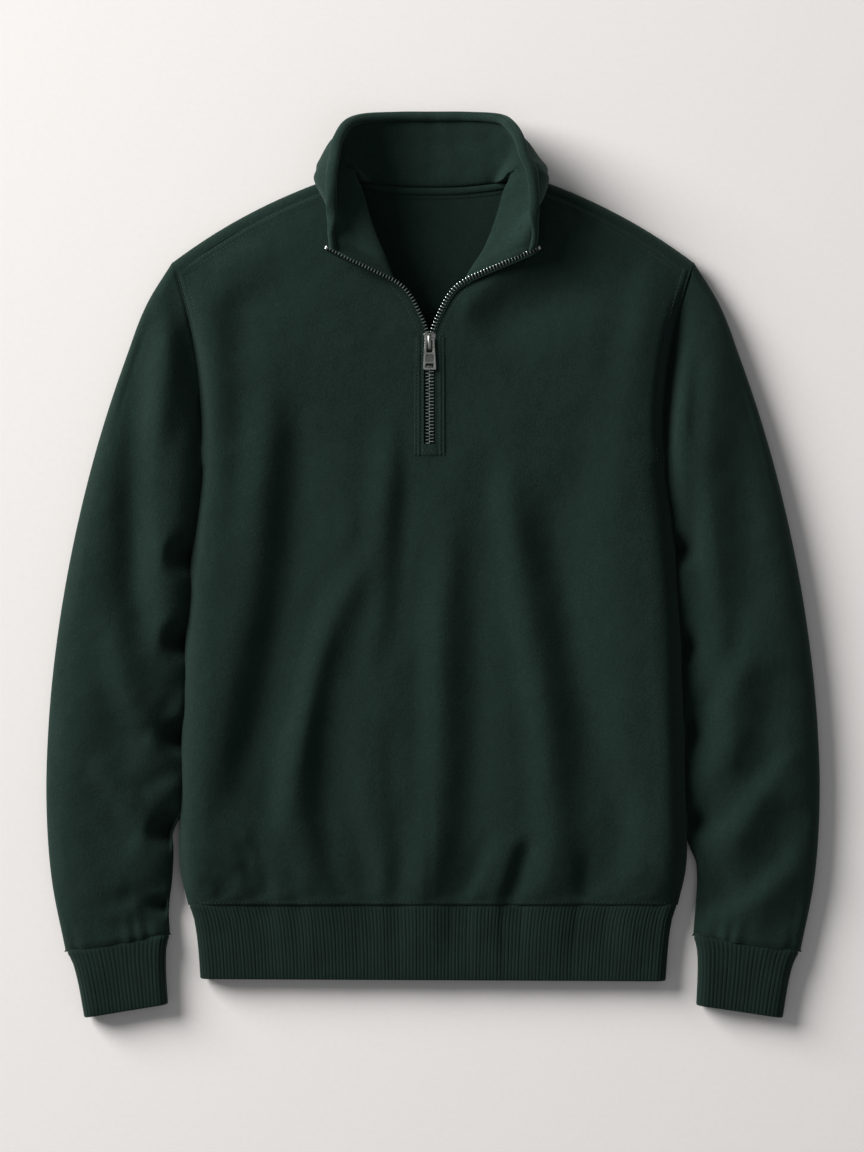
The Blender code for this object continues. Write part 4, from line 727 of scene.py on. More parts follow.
def armhole_top(share):
    from_pit = np.clip(share * ARMHOLE_LENGTH / ARMHOLE_CURL, 0, 1.0)
    rising = SEAM_HEIGHT + (ARM_HEIGHT - SEAM_HEIGHT) * np.sqrt(1 - (1 - from_pit) ** 2)
    to_shoulder = smooth_step((share - 0.72) / (SHOULDER_SHARE - 0.72))
    return rising + (2 * SHOULDER_ROLL - ARM_HEIGHT) * to_shoulder


def armhole_bottom(share):
    from_pit = min(share * ARMHOLE_LENGTH / SEAM_HEIGHT, 1.0)
    return SEAM_HEIGHT * (1 - math.sqrt(1 - (1 - from_pit) ** 2))


def arm_valley(share, which):
    """Extra depth of the valley along an armhole, from the armpit up."""
    return ARM_VALLEYS[which] * smooth_step(share / 0.22) * (1 - smooth_step((share - ARM_VALLEY_TOP) / 0.40))


def edge_rise(distance, roundness):
    width = VALLEY + (EDGE_ROUND - VALLEY) * roundness
    short = 1 - np.minimum(distance / width, 1.0)
    return (1 - short * short) ** (1 - 0.5 * roundness)


def beside_zip(side):
    """The zip's line in plan, moved off it: -1 to the front panel, 1 to the collar."""
    line = np.array(ZIP_LINE)[:, :2]
    along = unit(np.gradient(line, axis=0))
    return line + np.stack([along[:, 1], -along[:, 0]], axis=1) * side * ZIP_CLEAR


def height_on(grid, x, y):
    """Height of a grid of points at a place in plan, from its nearest points."""
    away = ((grid[..., 0] - x) ** 2 + (grid[..., 1] - y) ** 2).ravel()
    near = np.argsort(away)[:4]
    weights = 1 / (away[near] + 1e-9)
    return float(np.sum(grid[..., 2].ravel()[near] * weights) / np.sum(weights))


# Front


def front_row_ends():
    """Ends and heights of every fine row of the left half, from the hem to the shoulder."""
    body_y = [HEM_SEAM_Y + SEAM_GAP / 2, *BODY_ROWS, PIT[1]]
    pit = len(body_y) - 1
    slit = ZIP_X - SLIT_HALF
    beside = beside_zip(-1)
    upper = [(slit, row.y, ZIP_TOP) for row in SLIT_ROWS]
    upper += [(*beside[k + 1], ZIP_TOP - 0.0003 * k) for k in range(len(ZIP_ROW_SIDES))]
    upper += [(row.x, row.y, row.z) for row in NECK_ROWS]
    sides = [row.side for row in SLIT_ROWS] + list(ZIP_ROW_SIDES) + [row.side for row in NECK_ROWS]
    middles = np.array([(slit, y, ZIP_TOP) for y in body_y] + upper)
    last = len(middles) - 1
    at = np.linspace(0, last, last * FRONT_FINE + 1)
    middle = smooth_curve(np.arange(last + 1), middles, at)
    above = at > pit
    height = table_value(FRONT_HEIGHT, middle[:, 1])
    body_z = height + (np.minimum(height, ZIP_TOP) - height) * smooth_step((middle[:, 1] + 0.05) / 0.12)
    side_share = smooth_curve(np.arange(pit, last + 1), np.array([[0.0], *([s] for s in sides)]), at)[:, 0]
    share = side_share * SHOULDER_SHARE
    side = np.stack([-table_value(SHOWN_SIDE, middle[:, 1]), middle[:, 1]], axis=1)
    return {
        "side": np.where(above[:, None], np.array([armhole_point(s) for s in share]), side),
        "middle": middle[:, :2],
        "middle_z": np.where(above, middle[:, 2], body_z),
        "side_z": np.where(above, armhole_top(share), SEAM_HEIGHT + SEAM_GAP / 2),
        "crown": np.where(above, table_value(CROWN_HEIGHT, side_share), height),
        "roundness": np.where(above, 1 - smooth_step(share * ARMHOLE_LENGTH / 0.028), 1.0),
        "share": share * above,
        "near": np.where(above, smooth_step((side_share - 0.4) / 0.6), 0.0),
    }


def smooth_rows(z, middle, share):
    """Heights smoothed from row to row around the row `middle`."""
    even = z.copy()
    for _ in range(PIT_SMOOTHING):
        even[1:-1] = (even[:-2] + 2 * even[1:-1] + even[2:]) / 4
    near = np.exp(-(((np.arange(len(z)) - middle) / (1.2 * FRONT_FINE)) ** 4))[:, None]
    return z + (even - z) * near * share


def front_half(which):
    """Outer points of one half, left 0 or right 1: rows from the hem to the shoulder seam, columns from the
    side to the zip."""
    ends = front_row_ends()
    side, middle = ends.pop("side"), ends.pop("middle")
    middle_z, side_z, crown, roundness, share, near = (
        ends[name][:, None] for name in ("middle_z", "side_z", "crown", "roundness", "share", "near")
    )
    length = np.linalg.norm(middle - side, axis=1)[:, None]
    across = (middle - side) / length
    upwards = np.stack([-across[:, 1], across[:, 0]], axis=1)
    frame_wide = PLACKET_HALF - SLIT_HALF
    over_body = (length - frame_wide) * np.linspace(0, 1, SIDE_COLUMNS) ** 1.35
    over_frame = length - frame_wide + frame_wide * np.linspace(0, 1, PLACKET_COLUMNS + 1)[1:]
    distance = np.hstack([over_body, over_frame])
    q = distance / length
    bow = SHOULDER_BOW * near * 4 * q * (1 - q)
    plan = side[:, None] + across[:, None] * distance[..., None] + upwards[:, None] * bow[..., None]
    to_middle = smooth_step((q - 0.45) / 0.5)
    to_middle += (q - to_middle) * near
    level = crown + (middle_z - crown) * to_middle
    z = side_z + (level - side_z) * edge_rise(distance, roundness)
    x, y = plan[..., 0], plan[..., 1]
    if which:
        x = -x + zip_shift(middle[:, 1])[:, None] * q
    inside = edge_rise(distance, 0.0)
    from_neck = length - distance + 0 * y
    inside = inside * (1 - smooth_step((y - 0.200) / 0.012) * (1 - smooth_step(from_neck / 0.024)))
    soft = ripple(x, y, 0.045, 0.0011, 3.1) + ripple(x, y, 0.016, 0.0004, 8.2)
    z = z + (fold_lift(x, y) + hem_puckers(x, y) + soft) * inside
    held = smooth_step((y - HEM_SEAM_Y) / 0.030) * (1 - near)
    z = z + EDGE_LIFTS[which] * held * (1 - bell(distance / 0.0070)) * bell(distance / 0.055)
    z = z - arm_valley(share, which) * bell(distance / FRONT_VALLEY_WIDE[which]) * (1 - roundness)
    z = smooth_rows(z, (len(BODY_ROWS) + 1) * FRONT_FINE, smooth_step(distance / 0.004))
    z = z + seam_relief(distance, ARM_STITCHES, ARM_RIDGE) * (1 - roundness)
    steps = np.linalg.norm(np.diff(np.stack([x, y], axis=-1), axis=0), axis=-1)
    from_top = np.vstack([np.cumsum(steps[::-1], axis=0)[::-1], np.zeros((1, steps.shape[1]))])
    z = z + seam_relief(from_top, SHOULDER_STITCHES, SHOULDER_RIDGE) * smooth_step(distance / 0.010)
    from_hem = y - HEM_SEAM_Y
    z = z + (seam_relief(from_hem, HEM_STITCHES, HEM_RIDGE) - 0.0024 * bell(from_hem / 0.0013)) * inside
    return np.stack([x, y, z], axis=-1)


def make_front(looks):
    """The front panel, slit from the neck to the zip's foot. Also its points, the foot's row and a half's
    number of columns."""
    left, right = front_half(0), front_half(1)[:, ::-1]
    bridge = np.linspace(0, 1, 4)[1:-1, None]
    between = left[:, -1:] * (1 - bridge) + right[:, :1] * bridge
    grid = np.concatenate([left, between, right], axis=1)
    foot = (2 + len(BODY_ROWS) + 1) * FRONT_FINE
    first = left.shape[1] - 1
    present = np.ones((grid.shape[0] - 1, grid.shape[1] - 1), bool)
    present[foot:, first : first + 3] = False
    inward = np.concatenate([grid_normals(left), np.zeros_like(between) + UP, grid_normals(right)], axis=1)
    obj = wall("front_cloth", grid, grid - SHELL * inward, looks["fleece"], present)
    return ride(obj, "fleece", "front"), grid, foot, left.shape[1]


# Back


def roll_radius(share):
    return SHOULDER_ROLL + (NECK_ROLL - SHOULDER_ROLL) * share


def shoulder_line(share, inside):
    start, tip = armhole_point(SHOULDER_SHARE), armhole_point(1.0)
    across = np.array(NECK_ROWS[-1][:2]) - start
    upwards = np.array([-across[1], across[0]]) / np.linalg.norm(across)
    out = (tip - start) / np.linalg.norm(tip - start)
    out = unit(out + (upwards - out) * smooth_step(share / 0.5))
    bow = SHOULDER_BOW * 4 * share * (1 - share)
    return start + share * across + upwards * bow + out * (roll_radius(share) - inside)


def neck_edge(shares):
    edge = np.array(NECK_EDGE[::-1])
    lengths = path_lengths(edge)
    return smooth_curve(lengths, edge, np.asarray(shares) * lengths[-1])


def make_back(looks):
    """The back panel, flat on the surface, rolling up at the side seams and over the shoulders."""
    curl_turns = np.linspace(0, math.pi / 2, BACK_CURL_STEPS + 1)[:-1]
    curl, lip = len(curl_turns), SEAM_HEIGHT - SEAM_GAP / 2
    shoulder_shares = np.linspace(0, 1, BACK_SHOULDER_STEPS + 1) ** 1.2
    top = [shoulder_line(s, roll_radius(s)) for s in shoulder_shares]
    top = np.vstack([top, neck_edge(np.linspace(0, 1, BACK_NECK_STEPS + 1)[1:])])
    columns = len(top)
    up = np.zeros(columns)
    up[:curl] = 1 - np.sin(curl_turns)
    rows = []
    for y in np.linspace(HEM_SEAM_Y + SEAM_GAP / 2, PIT[1], BACK_BODY_STEPS + 1):
        half = table_value(SHOWN_SIDE, y)
        curled = -half + SEAM_HEIGHT * (1 - np.cos(curl_turns))
        x = np.concatenate([curled, np.linspace(-half + SEAM_HEIGHT, 0.0, columns - curl)])
        rows.append(np.column_stack([x, np.full(columns, y), lip * up]))
    pit_row = rows[-1][:, :2]
    fade = 1 - smooth_step(np.arange(columns) / (columns - 1))
    for arm in np.linspace(0, 1, BACK_ARM_STEPS + 1)[1:]:
        share = arm * SHOULDER_SHARE
        plan = pit_row * (1 - arm) + top * arm
        shift = armhole_point(share) - plan[0]
        z = lip * armhole_bottom(share) / SEAM_HEIGHT * up
        rows.append(np.column_stack([plan + np.outer(fade, shift), z]))
    flat_rows = len(rows)
    for turn in np.radians(np.linspace(-90, 90, BACK_ROLL_STEPS + 1))[1:]:
        row = []
        for i, place in enumerate(rows[flat_rows - 1]):
            share = shoulder_shares[min(i, BACK_SHOULDER_STEPS)]
            radius = roll_radius(share)
            flat = shoulder_line(share, radius * (1 - math.cos(turn)))
            row.append([*(flat if i <= BACK_SHOULDER_STEPS else place[:2]), radius * (1 + math.sin(turn))])
        rows.append(np.array(row))
    left = np.array(rows)
    grid = np.concatenate([left, left[:, -2::-1] * [-1, 1, 1]], axis=1)
    cells = grid.shape[1] - 1
    present = np.ones((grid.shape[0] - 1, cells), bool)
    present[flat_rows - 1 :, BACK_SHOULDER_STEPS : cells - BACK_SHOULDER_STEPS] = False
    normals = grid_normals(grid)
    normals[:flat_rows] = np.where(normals[:flat_rows, :, 2:] < 0, -normals[:flat_rows], normals[:flat_rows])
    normals[flat_rows - 1, BACK_SHOULDER_STEPS + 1 : cells - BACK_SHOULDER_STEPS] = UP
    obj = wall("back_cloth", grid, grid + SHELL * unit(normals), looks["fleece"], present)
    return ride(obj, "fleece", "back")


# Sleeves


def sleeve_rings(rings, creases, slopes, side):
    """Rings of a sleeve, each across the top from the outer edge to the inner one and back underneath."""
    last = len(rings) - 1
    at = np.linspace(0, last, last * SLEEVE_FINE + 1)
    out_y, in_x, in_y, height, crease = smooth_curve(np.arange(last + 1), np.array(rings), at).T[:, :, None]
    at = at[:, None]
    out = np.concatenate([-table_value(SLEEVE_OUTSIDE, out_y[:, 0])[:, None], out_y], axis=1)
    which = 0 if side < 0 else 1
    beside_body = EDGE_TUCK[which] - table_value(SHOWN_SIDE, in_y[:, 0])[:, None] - POCKET_SHARE * crease
    hug = smooth_step((in_y - HUG_ENDS[which]) / 0.030) * smooth_step(at / 2)
    in_x = in_x + (beside_body - in_x) * hug
    chord = np.concatenate([in_x, in_y], axis=1) - out
    length = np.linalg.norm(chord, axis=1, keepdims=True)
    to_sleeve = np.stack([chord[:, 1], -chord[:, 0]], axis=1) / length
    near_arm = 1 - smooth_step(at / 5)
    top, under = SLEEVE_FINE_SPANS
    over = (1 - np.cos(math.pi * np.arange(top) / top)) / 2
    below = 1 - (1 - np.cos(math.pi * np.arange(under) / under)) / 2
    share = np.concatenate([over, below])[None]
    bow = ARMHOLE_BOW * 4 * share * (1 - share) * near_arm
    plan = out[:, None] + chord[:, None] * share[..., None] - to_sleeve[:, None] * bow[..., None]
    x, y = plan[..., 0] * -side, plan[..., 1]
    edge = np.minimum(share, 1 - share) * length
    short = 1 - np.minimum(edge / SEAM_HEIGHT, 1.0)
    low = SEAM_HEIGHT * (1 - np.sqrt(1 - short * short))
    short = 1 - np.minimum(edge / SHOULDER_ROLL, 1.0)
    at_roll = SHOULDER_ROLL * (1 + np.sqrt(1 - short * short))
    at_arm = np.where(share < 1 - SHOULDER_SHARE, at_roll, armhole_top(1 - share))
    dome = np.sqrt(np.maximum(0.0, 1 - np.abs(2 * share - 1) ** 3.2))
    inner_fall = 1 - INNER_FALLS[which] * smooth_step((share - 0.60) / 0.40)
    free = SEAM_HEIGHT + (height - SEAM_HEIGHT) * dome * inner_fall
    free = free - INNER_CREASE * crease * smooth_step((share - 0.42) / 0.4) * smooth_step((1 - share) / 0.10)
    high = at_arm * near_arm + free * (1 - near_arm)
    held = smooth_step(edge / (0.014 - 0.010 * smooth_step((share - 0.5) / 0.2))) * smooth_step(at / 3)
    to_end = last - at
    lift = (crease_lift(creases, x, y) + slope_lift(slopes, x, y)) * (0.4 + 0.6 * smooth_step(to_end / 1.2))
    lift = lift + ripple(x, y, 0.040, 0.0012, 5.5 + side) + ripple(x, y, 0.015, 0.0004, 9.5)
    gather = np.sin(share * length / 0.0035 + 3 * np.sin(share * 9)) * 0.0008
    lift = lift + gather * bell(to_end / 0.75)
    steps = np.hypot(np.diff(x, axis=0), np.diff(y, axis=0))
    from_arm = np.cumsum(np.vstack([np.zeros((1, x.shape[1])), steps]), 0)
    valley = arm_valley(1 - share, which) * smooth_step(edge / 0.006)
    valley = valley * bell(from_arm / SLEEVE_VALLEY_WIDE[which])
    seam = -valley - SLEEVE_SEAM_DIP * bell(from_arm / 0.0022) * smooth_step(edge / 0.010)
    from_cuff = to_end * CUFF_RING_STEP + 0 * edge
    seam = seam + seam_relief(from_cuff, CUFF_STITCHES, CUFF_RIDGE) - 0.0022 * bell(from_cuff / 0.0014)
    upper = np.maximum(high + lift * held + seam, low + 0.0016 * smooth_step(edge / 0.004))
    z = np.concatenate([upper[:, :top], low[:, top:]], axis=1)
    return np.stack([x, y, np.maximum(z, 0.0)], axis=-1)


def make_sleeve(name, rings, creases, slopes, side, looks):
    outer = sleeve_rings(rings, creases, slopes, side)
    normals = grid_normals(outer, closed=True)
    outward = np.sign(np.sum(normals * (outer - outer.mean(axis=1, keepdims=True))))
    inner = outer - normals * outward * SHELL
    inner[..., 2] = np.maximum(inner[..., 2], 0.0)
    return ride(wall(name + "_cloth", outer, inner, looks["fleece"], closed=True), "fleece", name)


# Ribbed hem and cuffs


def rib_grid(ends, ribs, side, lift_at, waist, flush):
    """Outer and inner points of a flattened ribbed tube, with a rounded fold at its free end."""
    (start0, stop0, height0), (start1, stop1, height1) = ends
    long = np.linalg.norm((start1 + stop1) / 2 - (start0 + stop0) / 2)
    half = RIB / 2
    turn = np.linspace(0, math.pi / 2, 5)[1:]
    tucked = np.array(RIB_TUCK)
    rows = np.linspace(0.005, long - half, RIB_ROWS)
    at = np.concatenate([tucked[:, 0], rows, long - half * (1 - np.sin(turn))])
    pull = np.concatenate([tucked[:, 1], 0 * rows, half * (1 - np.cos(turn))])
    sections = []
    for distance, thin in zip(at, pull):
        t = distance / long
        start, stop = start0 + (start1 - start0) * t, stop0 + (stop1 - stop0) * t
        across = (stop - start) / np.linalg.norm(stop - start)
        pinch = waist * math.sin(math.pi * min(max(t, 0.0), 1.0) ** 0.7) - flush * bell(t / 0.10)
        height = height0 + (height1 - height0) * t
        sections.append(rib_section(start + across * pinch, stop - across * pinch, height, ribs, thin, t))
    outer, inner = np.array(sections).transpose(1, 0, 2, 3) * [-side, 1, 1]
    lift = lift_at(outer[..., 0], outer[..., 1]) * smooth_step((outer[..., 2] - SEAM_HEIGHT) / 0.008)
    outer[..., 2] += lift
    inner[..., 2] += lift
    return outer, inner


def rib_section(start, end, height, ribs, thin, t):
    """Outer and inner points round one section: half round at each edge, its ribs across the top."""
    radius = height / 2
    length = np.linalg.norm(end - start)
    across = (end - start) / length
    arc, flat = math.pi / 2 * radius, length - 2 * radius
    whole = 2 * arc + flat
    k = np.arange(ribs * RIB_SAMPLES + 1) / RIB_SAMPLES
    from_edge = np.minimum(k, ribs - k)
    wander = RIB_WANDER * np.sin(k * 0.61 + 4.0 * t) * math.sin(math.pi * t)
    over = whole * k / ribs + wander * np.minimum(1, from_edge / 3)
    wave = np.abs(np.sin(math.pi * k)) ** 0.75
    uneven = 1 + 0.25 * np.sin(k * 2.17 + 1.3)
    lift = RIB_SHOWN * RIB_RELIEF * (wave * 1.35 - 0.75) * uneven * np.minimum(1, from_edge / 1.5)
    corner = np.linspace(0, arc, 6)[1:]
    under = whole - np.concatenate([corner, np.linspace(arc, whole - arc, 14)[1:-1], whole - corner[::-1]])

    def at(distance, way, out):
        left, right = distance < arc, distance > arc + flat
        turn = np.where(left, distance, distance - arc - flat) / radius
        x = np.where(left, radius - (radius + out) * np.cos(turn), radius + distance - arc)
        x = np.where(right, length - radius + (radius + out) * np.sin(turn), x)
        z = np.where(left, (radius + out) * np.sin(turn), radius + out)
        z = np.where(right, (radius + out) * np.cos(turn), z)
        return np.column_stack([start + np.outer(x, across), radius + way * z])

    outer = np.vstack([at(over, 1, lift * (1 - 0.5 * (thin > 0)) - thin), at(under, -1, -thin)])
    inner = np.vstack([at(over, 1, -RIB + thin), at(under, -1, -RIB + thin)])
    return outer, inner


def make_hem(looks):
    seam_y = HEM_SEAM_Y - SEAM_GAP / 2
    seam = (np.array([-HEM_HALF, seam_y]), np.array([HEM_HALF, seam_y]), HEM_HEIGHT)
    end = (np.array([-HEM_END_HALF, HEM_END_Y]), np.array([HEM_END_HALF, HEM_END_Y - 0.002]), HEM_HEIGHT - 0.002)

    def lift_at(x, y):
        fade = smooth_step((y - HEM_END_Y + 0.012) / (HEM_SEAM_Y - HEM_END_Y))
        folds = fold_lift(x, np.full_like(y, HEM_SEAM_Y + 0.006)) + ripple(x, y * 0.4, 0.028, 0.0013, 2.2)
        return np.clip(folds, -HEM_FOLD, HEM_FOLD) * (0.15 + 0.85 * fade)

    outer, inner = rib_grid([seam, end], HEM_RIBS, -1, lift_at, *HEM_WAIST)
    return ride(wall("hem_cloth", outer, inner, looks["rib"], closed=True), "rib", "hem_band")


def make_cuff(name, ring, side, looks):
    """A cuff below its sleeve's last ring."""
    out = np.array([-table_value(SLEEVE_OUTSIDE, ring.out_y), ring.out_y])
    inn = np.array([ring.in_x, ring.in_y])
    across = (inn - out) / np.linalg.norm(inn - out)
    along = np.array([across[1], -across[0]])
    ends = [
        (out + along * end.down + across * end.out_in, inn + along * end.down - across * end.in_in, end.height)
        for end in CUFF_ENDS
    ]

    def lift_at(x, y):
        return ripple(x, y * 0.5, 0.026, 0.0014, 4.4 + side)

    outer, inner = rib_grid(ends, CUFF_RIBS, side, lift_at, *CUFF_WAIST)
    return ride(wall(name + "_cloth", outer, inner, looks["rib"], closed=True), "rib", name)


# Collar


def collar_middle(shares, front):
    """Middle surface of the left half: rows from the front end to the middle of the back."""
    seam, belly, top = np.array(COLLAR).reshape(len(COLLAR), 3, 3).transpose(1, 0, 2)
    seam = seam.copy()
    for k, flare in enumerate(COLLAR_FLARE):
        seam[k, 0] -= flare
        if flare:
            seam[k, 2] = max(seam[k, 2], height_on(front, seam[k, 0], seam[k, 1]) + 0.0012)
    edge = np.column_stack([beside_zip(1), np.array(ZIP_LINE)[:, 2]])[ZIP_NECK:]
    lengths = path_lengths(edge)
    front_end = smooth_curve(lengths, edge, shares * lengths[-1])
    at = np.linspace(0, len(COLLAR), COLLAR_FINE + 1)
    columns = []
    for v, start in zip(shares, front_end):
        line = 2 * (v - 0.5) * (v - 1) * seam + 4 * v * (1 - v) * belly + 2 * v * (v - 0.5) * top
        columns.append(smooth_curve(np.arange(len(COLLAR) + 1), np.vstack([start, line]), at))
    return np.array(columns).transpose(1, 0, 2)


def collar_thickness(v):
    """Half thickness across the collar: doubled cloth, a stitched roll along the top and a rounded edge."""
    body = table_value([(band.share, band.thick) for band in COLLAR_BANDS[:-1]], v) * COLLAR_THICK / 2
    body = body * (1 - 0.6 * np.clip((0.03 - v) / 0.03, 0, 1) ** 2)
    body = body - 0.0008 * bell((v - COLLAR_FURROW) / 0.014)
    from_rim = (v - (1 + COLLAR_FURROW) / 2) / ((1 - COLLAR_FURROW) / 2)
    rim = RIM_RADIUS * np.sqrt(np.maximum(0.0, 1 - from_rim**2))
    return np.maximum(rim, np.where(v < COLLAR_FURROW, body, body * (from_rim < 0)))


def make_collar(looks, front):
    low = np.linspace(0, COLLAR_FURROW, 34)
    roll = COLLAR_FURROW + (1 - COLLAR_FURROW) * (1 - np.cos(np.linspace(0, math.pi, 15)[1:])) / 2
    shares = np.concatenate([low, roll])
    left = collar_middle(shares, front)
    right = mirrored(left[-2::-1])
    stations = np.linspace(0, len(COLLAR), len(left))
    lean = np.interp(stations, np.arange(len(COLLAR_LEANS)), COLLAR_LEANS)
    right[..., 0] -= COLLAR_LEAN * lean[-2::-1, None] * smooth_step(shares / 0.8)
    grid = np.concatenate([left, right])
    normals = grid_normals(grid)
    if normals[COLLAR_FINE, 0, 2] < 0:
        normals = -normals
    count = len(grid)
    row = np.arange(count)[:, None]
    along, v = np.linspace(0, 1, count)[:, None], shares[None]
    flat = [np.broadcast_to(values, grid.shape[:2]) for values in (along, v * 0.12)]
    soft = ripple(*flat, 0.035, 0.0011, 1.7) * smooth_step(v / 0.15) * smooth_step((1 - v) / 0.15)
    grid = grid + normals * (soft * smooth_step(np.minimum(along, 1 - along) / 0.03))[..., None]
    foot = smooth_curve(np.arange(len(COLLAR_FOOT)), np.array(COLLAR_FOOT)[:, None], stations)[:, 0]
    foot = np.concatenate([foot, foot[-2::-1]])[:, None]
    inward = np.where(row < len(left), 1.0, -1.0)
    near, far = foot * (1 - smooth_step(v / 0.62)), foot * np.clip(1 - v / COLLAR_FURROW, 0, 1) ** 1.3
    steps = np.linalg.norm(np.diff(grid, axis=0), axis=-1)
    from_start = np.vstack([np.zeros((1, len(shares))), np.cumsum(steps, axis=0)])
    from_zip = np.minimum(from_start, from_start[-1:] - from_start)
    rounded_end = np.clip((np.minimum(row, count - 1 - row) + 0.6) / 3.0, 0, 1)
    half = collar_thickness(shares)[None] * np.sqrt(1 - (1 - rounded_end) ** 2)
    for line in COLLAR_STITCHES:
        half = half - COLLAR_STITCH_DIP * bell((from_zip - line) / 0.0010) * (v < COLLAR_FURROW)
    lifted = LEAF_LIFT * smooth_step(from_zip / 0.018) * (1 - smooth_step(v / 0.8)) * (inward > 0)
    lifted = lifted * (1 - smooth_step((row / len(left) - 0.42) / 0.2))
    foot_in = np.stack([near * inward, -0.35 * near, 0.25 * near + lifted], axis=-1)
    foot_out = np.stack([-far * inward, -0.10 * far, -1.1 * far], axis=-1)
    outer, inner = grid - normals * half[..., None] + foot_out, grid + normals * half[..., None] + foot_in
    outer[..., 2], inner[..., 2] = np.maximum(outer[..., 2], 0.0), np.maximum(inner[..., 2], 0.0010)
    return ride(wall("collar_cloth", outer, inner, looks["collar"], angle=70), "collar_cloth", "collar")


def make_neck_tape(looks):
    """The tape along the back of the neck, and the seam allowance under it."""
    line = neck_edge(np.linspace(0.06, 1, 30))
    line = np.vstack([line, line[-2::-1] * [-1, 1]])
    outer = np.array([[[x, y - row.inside, row.z] for x, y in line] for row in NECK_TAPE])
    inner = outer.copy()
    inner[..., 2] = FLEECE + SEAM_GAP
    tape = wall("neck_tape_cloth", outer, inner, looks["binding"])
    x, across = np.meshgrid(np.linspace(-0.086, 0.086, 40), np.linspace(-0.010, 0.014, 4))
    y = np.interp(np.abs(x), *line[len(line) // 2 :].T) + across
    top = np.stack([x, y, np.full_like(x, 0.0020)], axis=-1)
    ride(wall("neck_seam_allowance", top, top - 0.0010 * UP, looks["fleece"]), "fleece")
    return ride(tape, "binding", "neck_tape")


# Stitches


def along_path(path, pitch):
    """Evenly spaced points along a line of points, with the way it runs there."""
    lengths = path_lengths(path)
    count = max(int(lengths[-1] / pitch), 2)
    at = (np.arange(count) + 0.5) * lengths[-1] / count
    ahead, behind = (read_along(path, lengths, at + step) for step in (pitch / 2, -pitch / 2))
    return read_along(path, lengths, at), unit(ahead - behind), at


def sew(name, lines, looks):
    """One piece from lines of stitches, each a path of surface points with the surface's normals there."""
    turns = np.linspace(0, 2 * math.pi, STITCH_SIDES, endpoint=False)
    shape = np.array([[at, wide * math.cos(t) / 2, wide * math.sin(t) / 2] for at, wide in STITCH for t in turns])
    shape *= [STITCH_LONG, STITCH_WIDE, STITCH_WIDE]
    shape[:, 2] -= (shape[:, 0] / STITCH_LONG) ** 2 * STITCH_WIDE * 1.2
    places, ways, ups = [], [], []
    for path, normals in lines:
        spots, way, at = along_path(path, STITCH_PITCH)
        up = unit(read_along(normals, path_lengths(path), at))
        places.append(spots)
        ways.append(way)
        ups.append(unit(up - way * np.sum(up * way, axis=1, keepdims=True)))
    places, ways, ups = (np.concatenate(parts) for parts in (places, ways, ups))
    axes = (ways, unit(np.cross(ups, ways)), ups)
    return swarm(name, shape, STITCH_SIDES, places, axes, looks["thread"], "fleece")


def lines_on(points, normals, distances):
    """A path, with its normals, at each distance along the rows of a grid of points."""
    steps = np.linalg.norm(np.diff(points[..., :2], axis=1), axis=-1)
    along = np.hstack([np.zeros((len(points), 1)), np.cumsum(steps, axis=1)])
    return [
        [np.array([read_along(row, at, [d])[0] for at, row in zip(along, grid)]) for grid in (points, normals)]
        for d in distances
    ]


def make_front_stitches(grid, foot, half_columns, looks):
    above_pit = (1 + len(BODY_ROWS)) * FRONT_FINE + 5
    vee = slice(foot + 4 * FRONT_FINE, foot + 9 * FRONT_FINE)
    lines = []
    for half in (grid[:, :half_columns], grid[:, ::-1][:, :half_columns]):
        normals = grid_normals(half)
        normals = normals * np.sign(normals[..., 2].mean())
        columns, up = half.transpose(1, 0, 2), normals.transpose(1, 0, 2)
        lines += lines_on(half[above_pit:], normals[above_pit:], ARM_STITCHES)
        lines += lines_on(columns[14:, ::-1], up[14:, ::-1], SHOULDER_STITCHES)
        lines += lines_on(columns[10:], up[10:], HEM_STITCHES)
        lines += lines_on(half[vee, ::-1], normals[vee, ::-1], VEE_STITCHES)
    return sew("front_stitches", lines, looks)


# Placket and zip


def make_placket(grid, foot, half_columns, looks):
    """The stitched frame round the zip, on the front's own points, moved out."""
    low, high = foot - FRONT_FINE, foot + 4 * FRONT_FINE
    first = half_columns - 1 - PLACKET_COLUMNS
    patch = grid[low : high + 1, first : grid.shape[1] - first]
    rows, columns = patch.shape[:2]
    row = np.minimum(np.arange(rows) / 2.0, 1)[:, None]
    side = np.minimum(np.minimum(np.arange(columns), np.arange(columns)[::-1]) / 1.5, 1)[None]
    out = np.abs(patch[..., 0] - ZIP_X)
    upper = patch.copy()
    upper[..., 2] += SEAM_GAP + PLACKET_THICK * np.sqrt(1 - (1 - np.minimum(row, side)) ** 2)
    for furrow in (PLACKET_HALF - 0.0022, SLIT_HALF + 0.0022):
        upper[..., 2] -= 0.0009 * bell((out - furrow) / 0.0007)
    present = np.ones((rows - 1, columns - 1), bool)
    present[FRONT_FINE:, PLACKET_COLUMNS : PLACKET_COLUMNS + 3] = False
    obj = wall("placket_cloth", upper, patch + SEAM_GAP / 2 * UP, looks["fleece"], present)
    ride(obj, "fleece", "placket")
    lines, top = [], upper[-1, 0, 1]
    for inset in PLACKET_STITCHES:
        half, bottom = PLACKET_HALF - inset, PLACKET_FOOT_Y + min(inset, 0.0045)
        corners = [(-half, top), (-half, bottom), (half, bottom), (half, top)]
        for a, b in zip(corners, corners[1:]):
            spots = [(ZIP_X + x, y) for x, y in np.linspace(a, b, 40)]
            lines.append((np.array([(x, y, height_on(upper, x, y)) for x, y in spots]), np.tile(UP, (40, 1))))
    return obj, sew("placket_stitches", lines, looks)


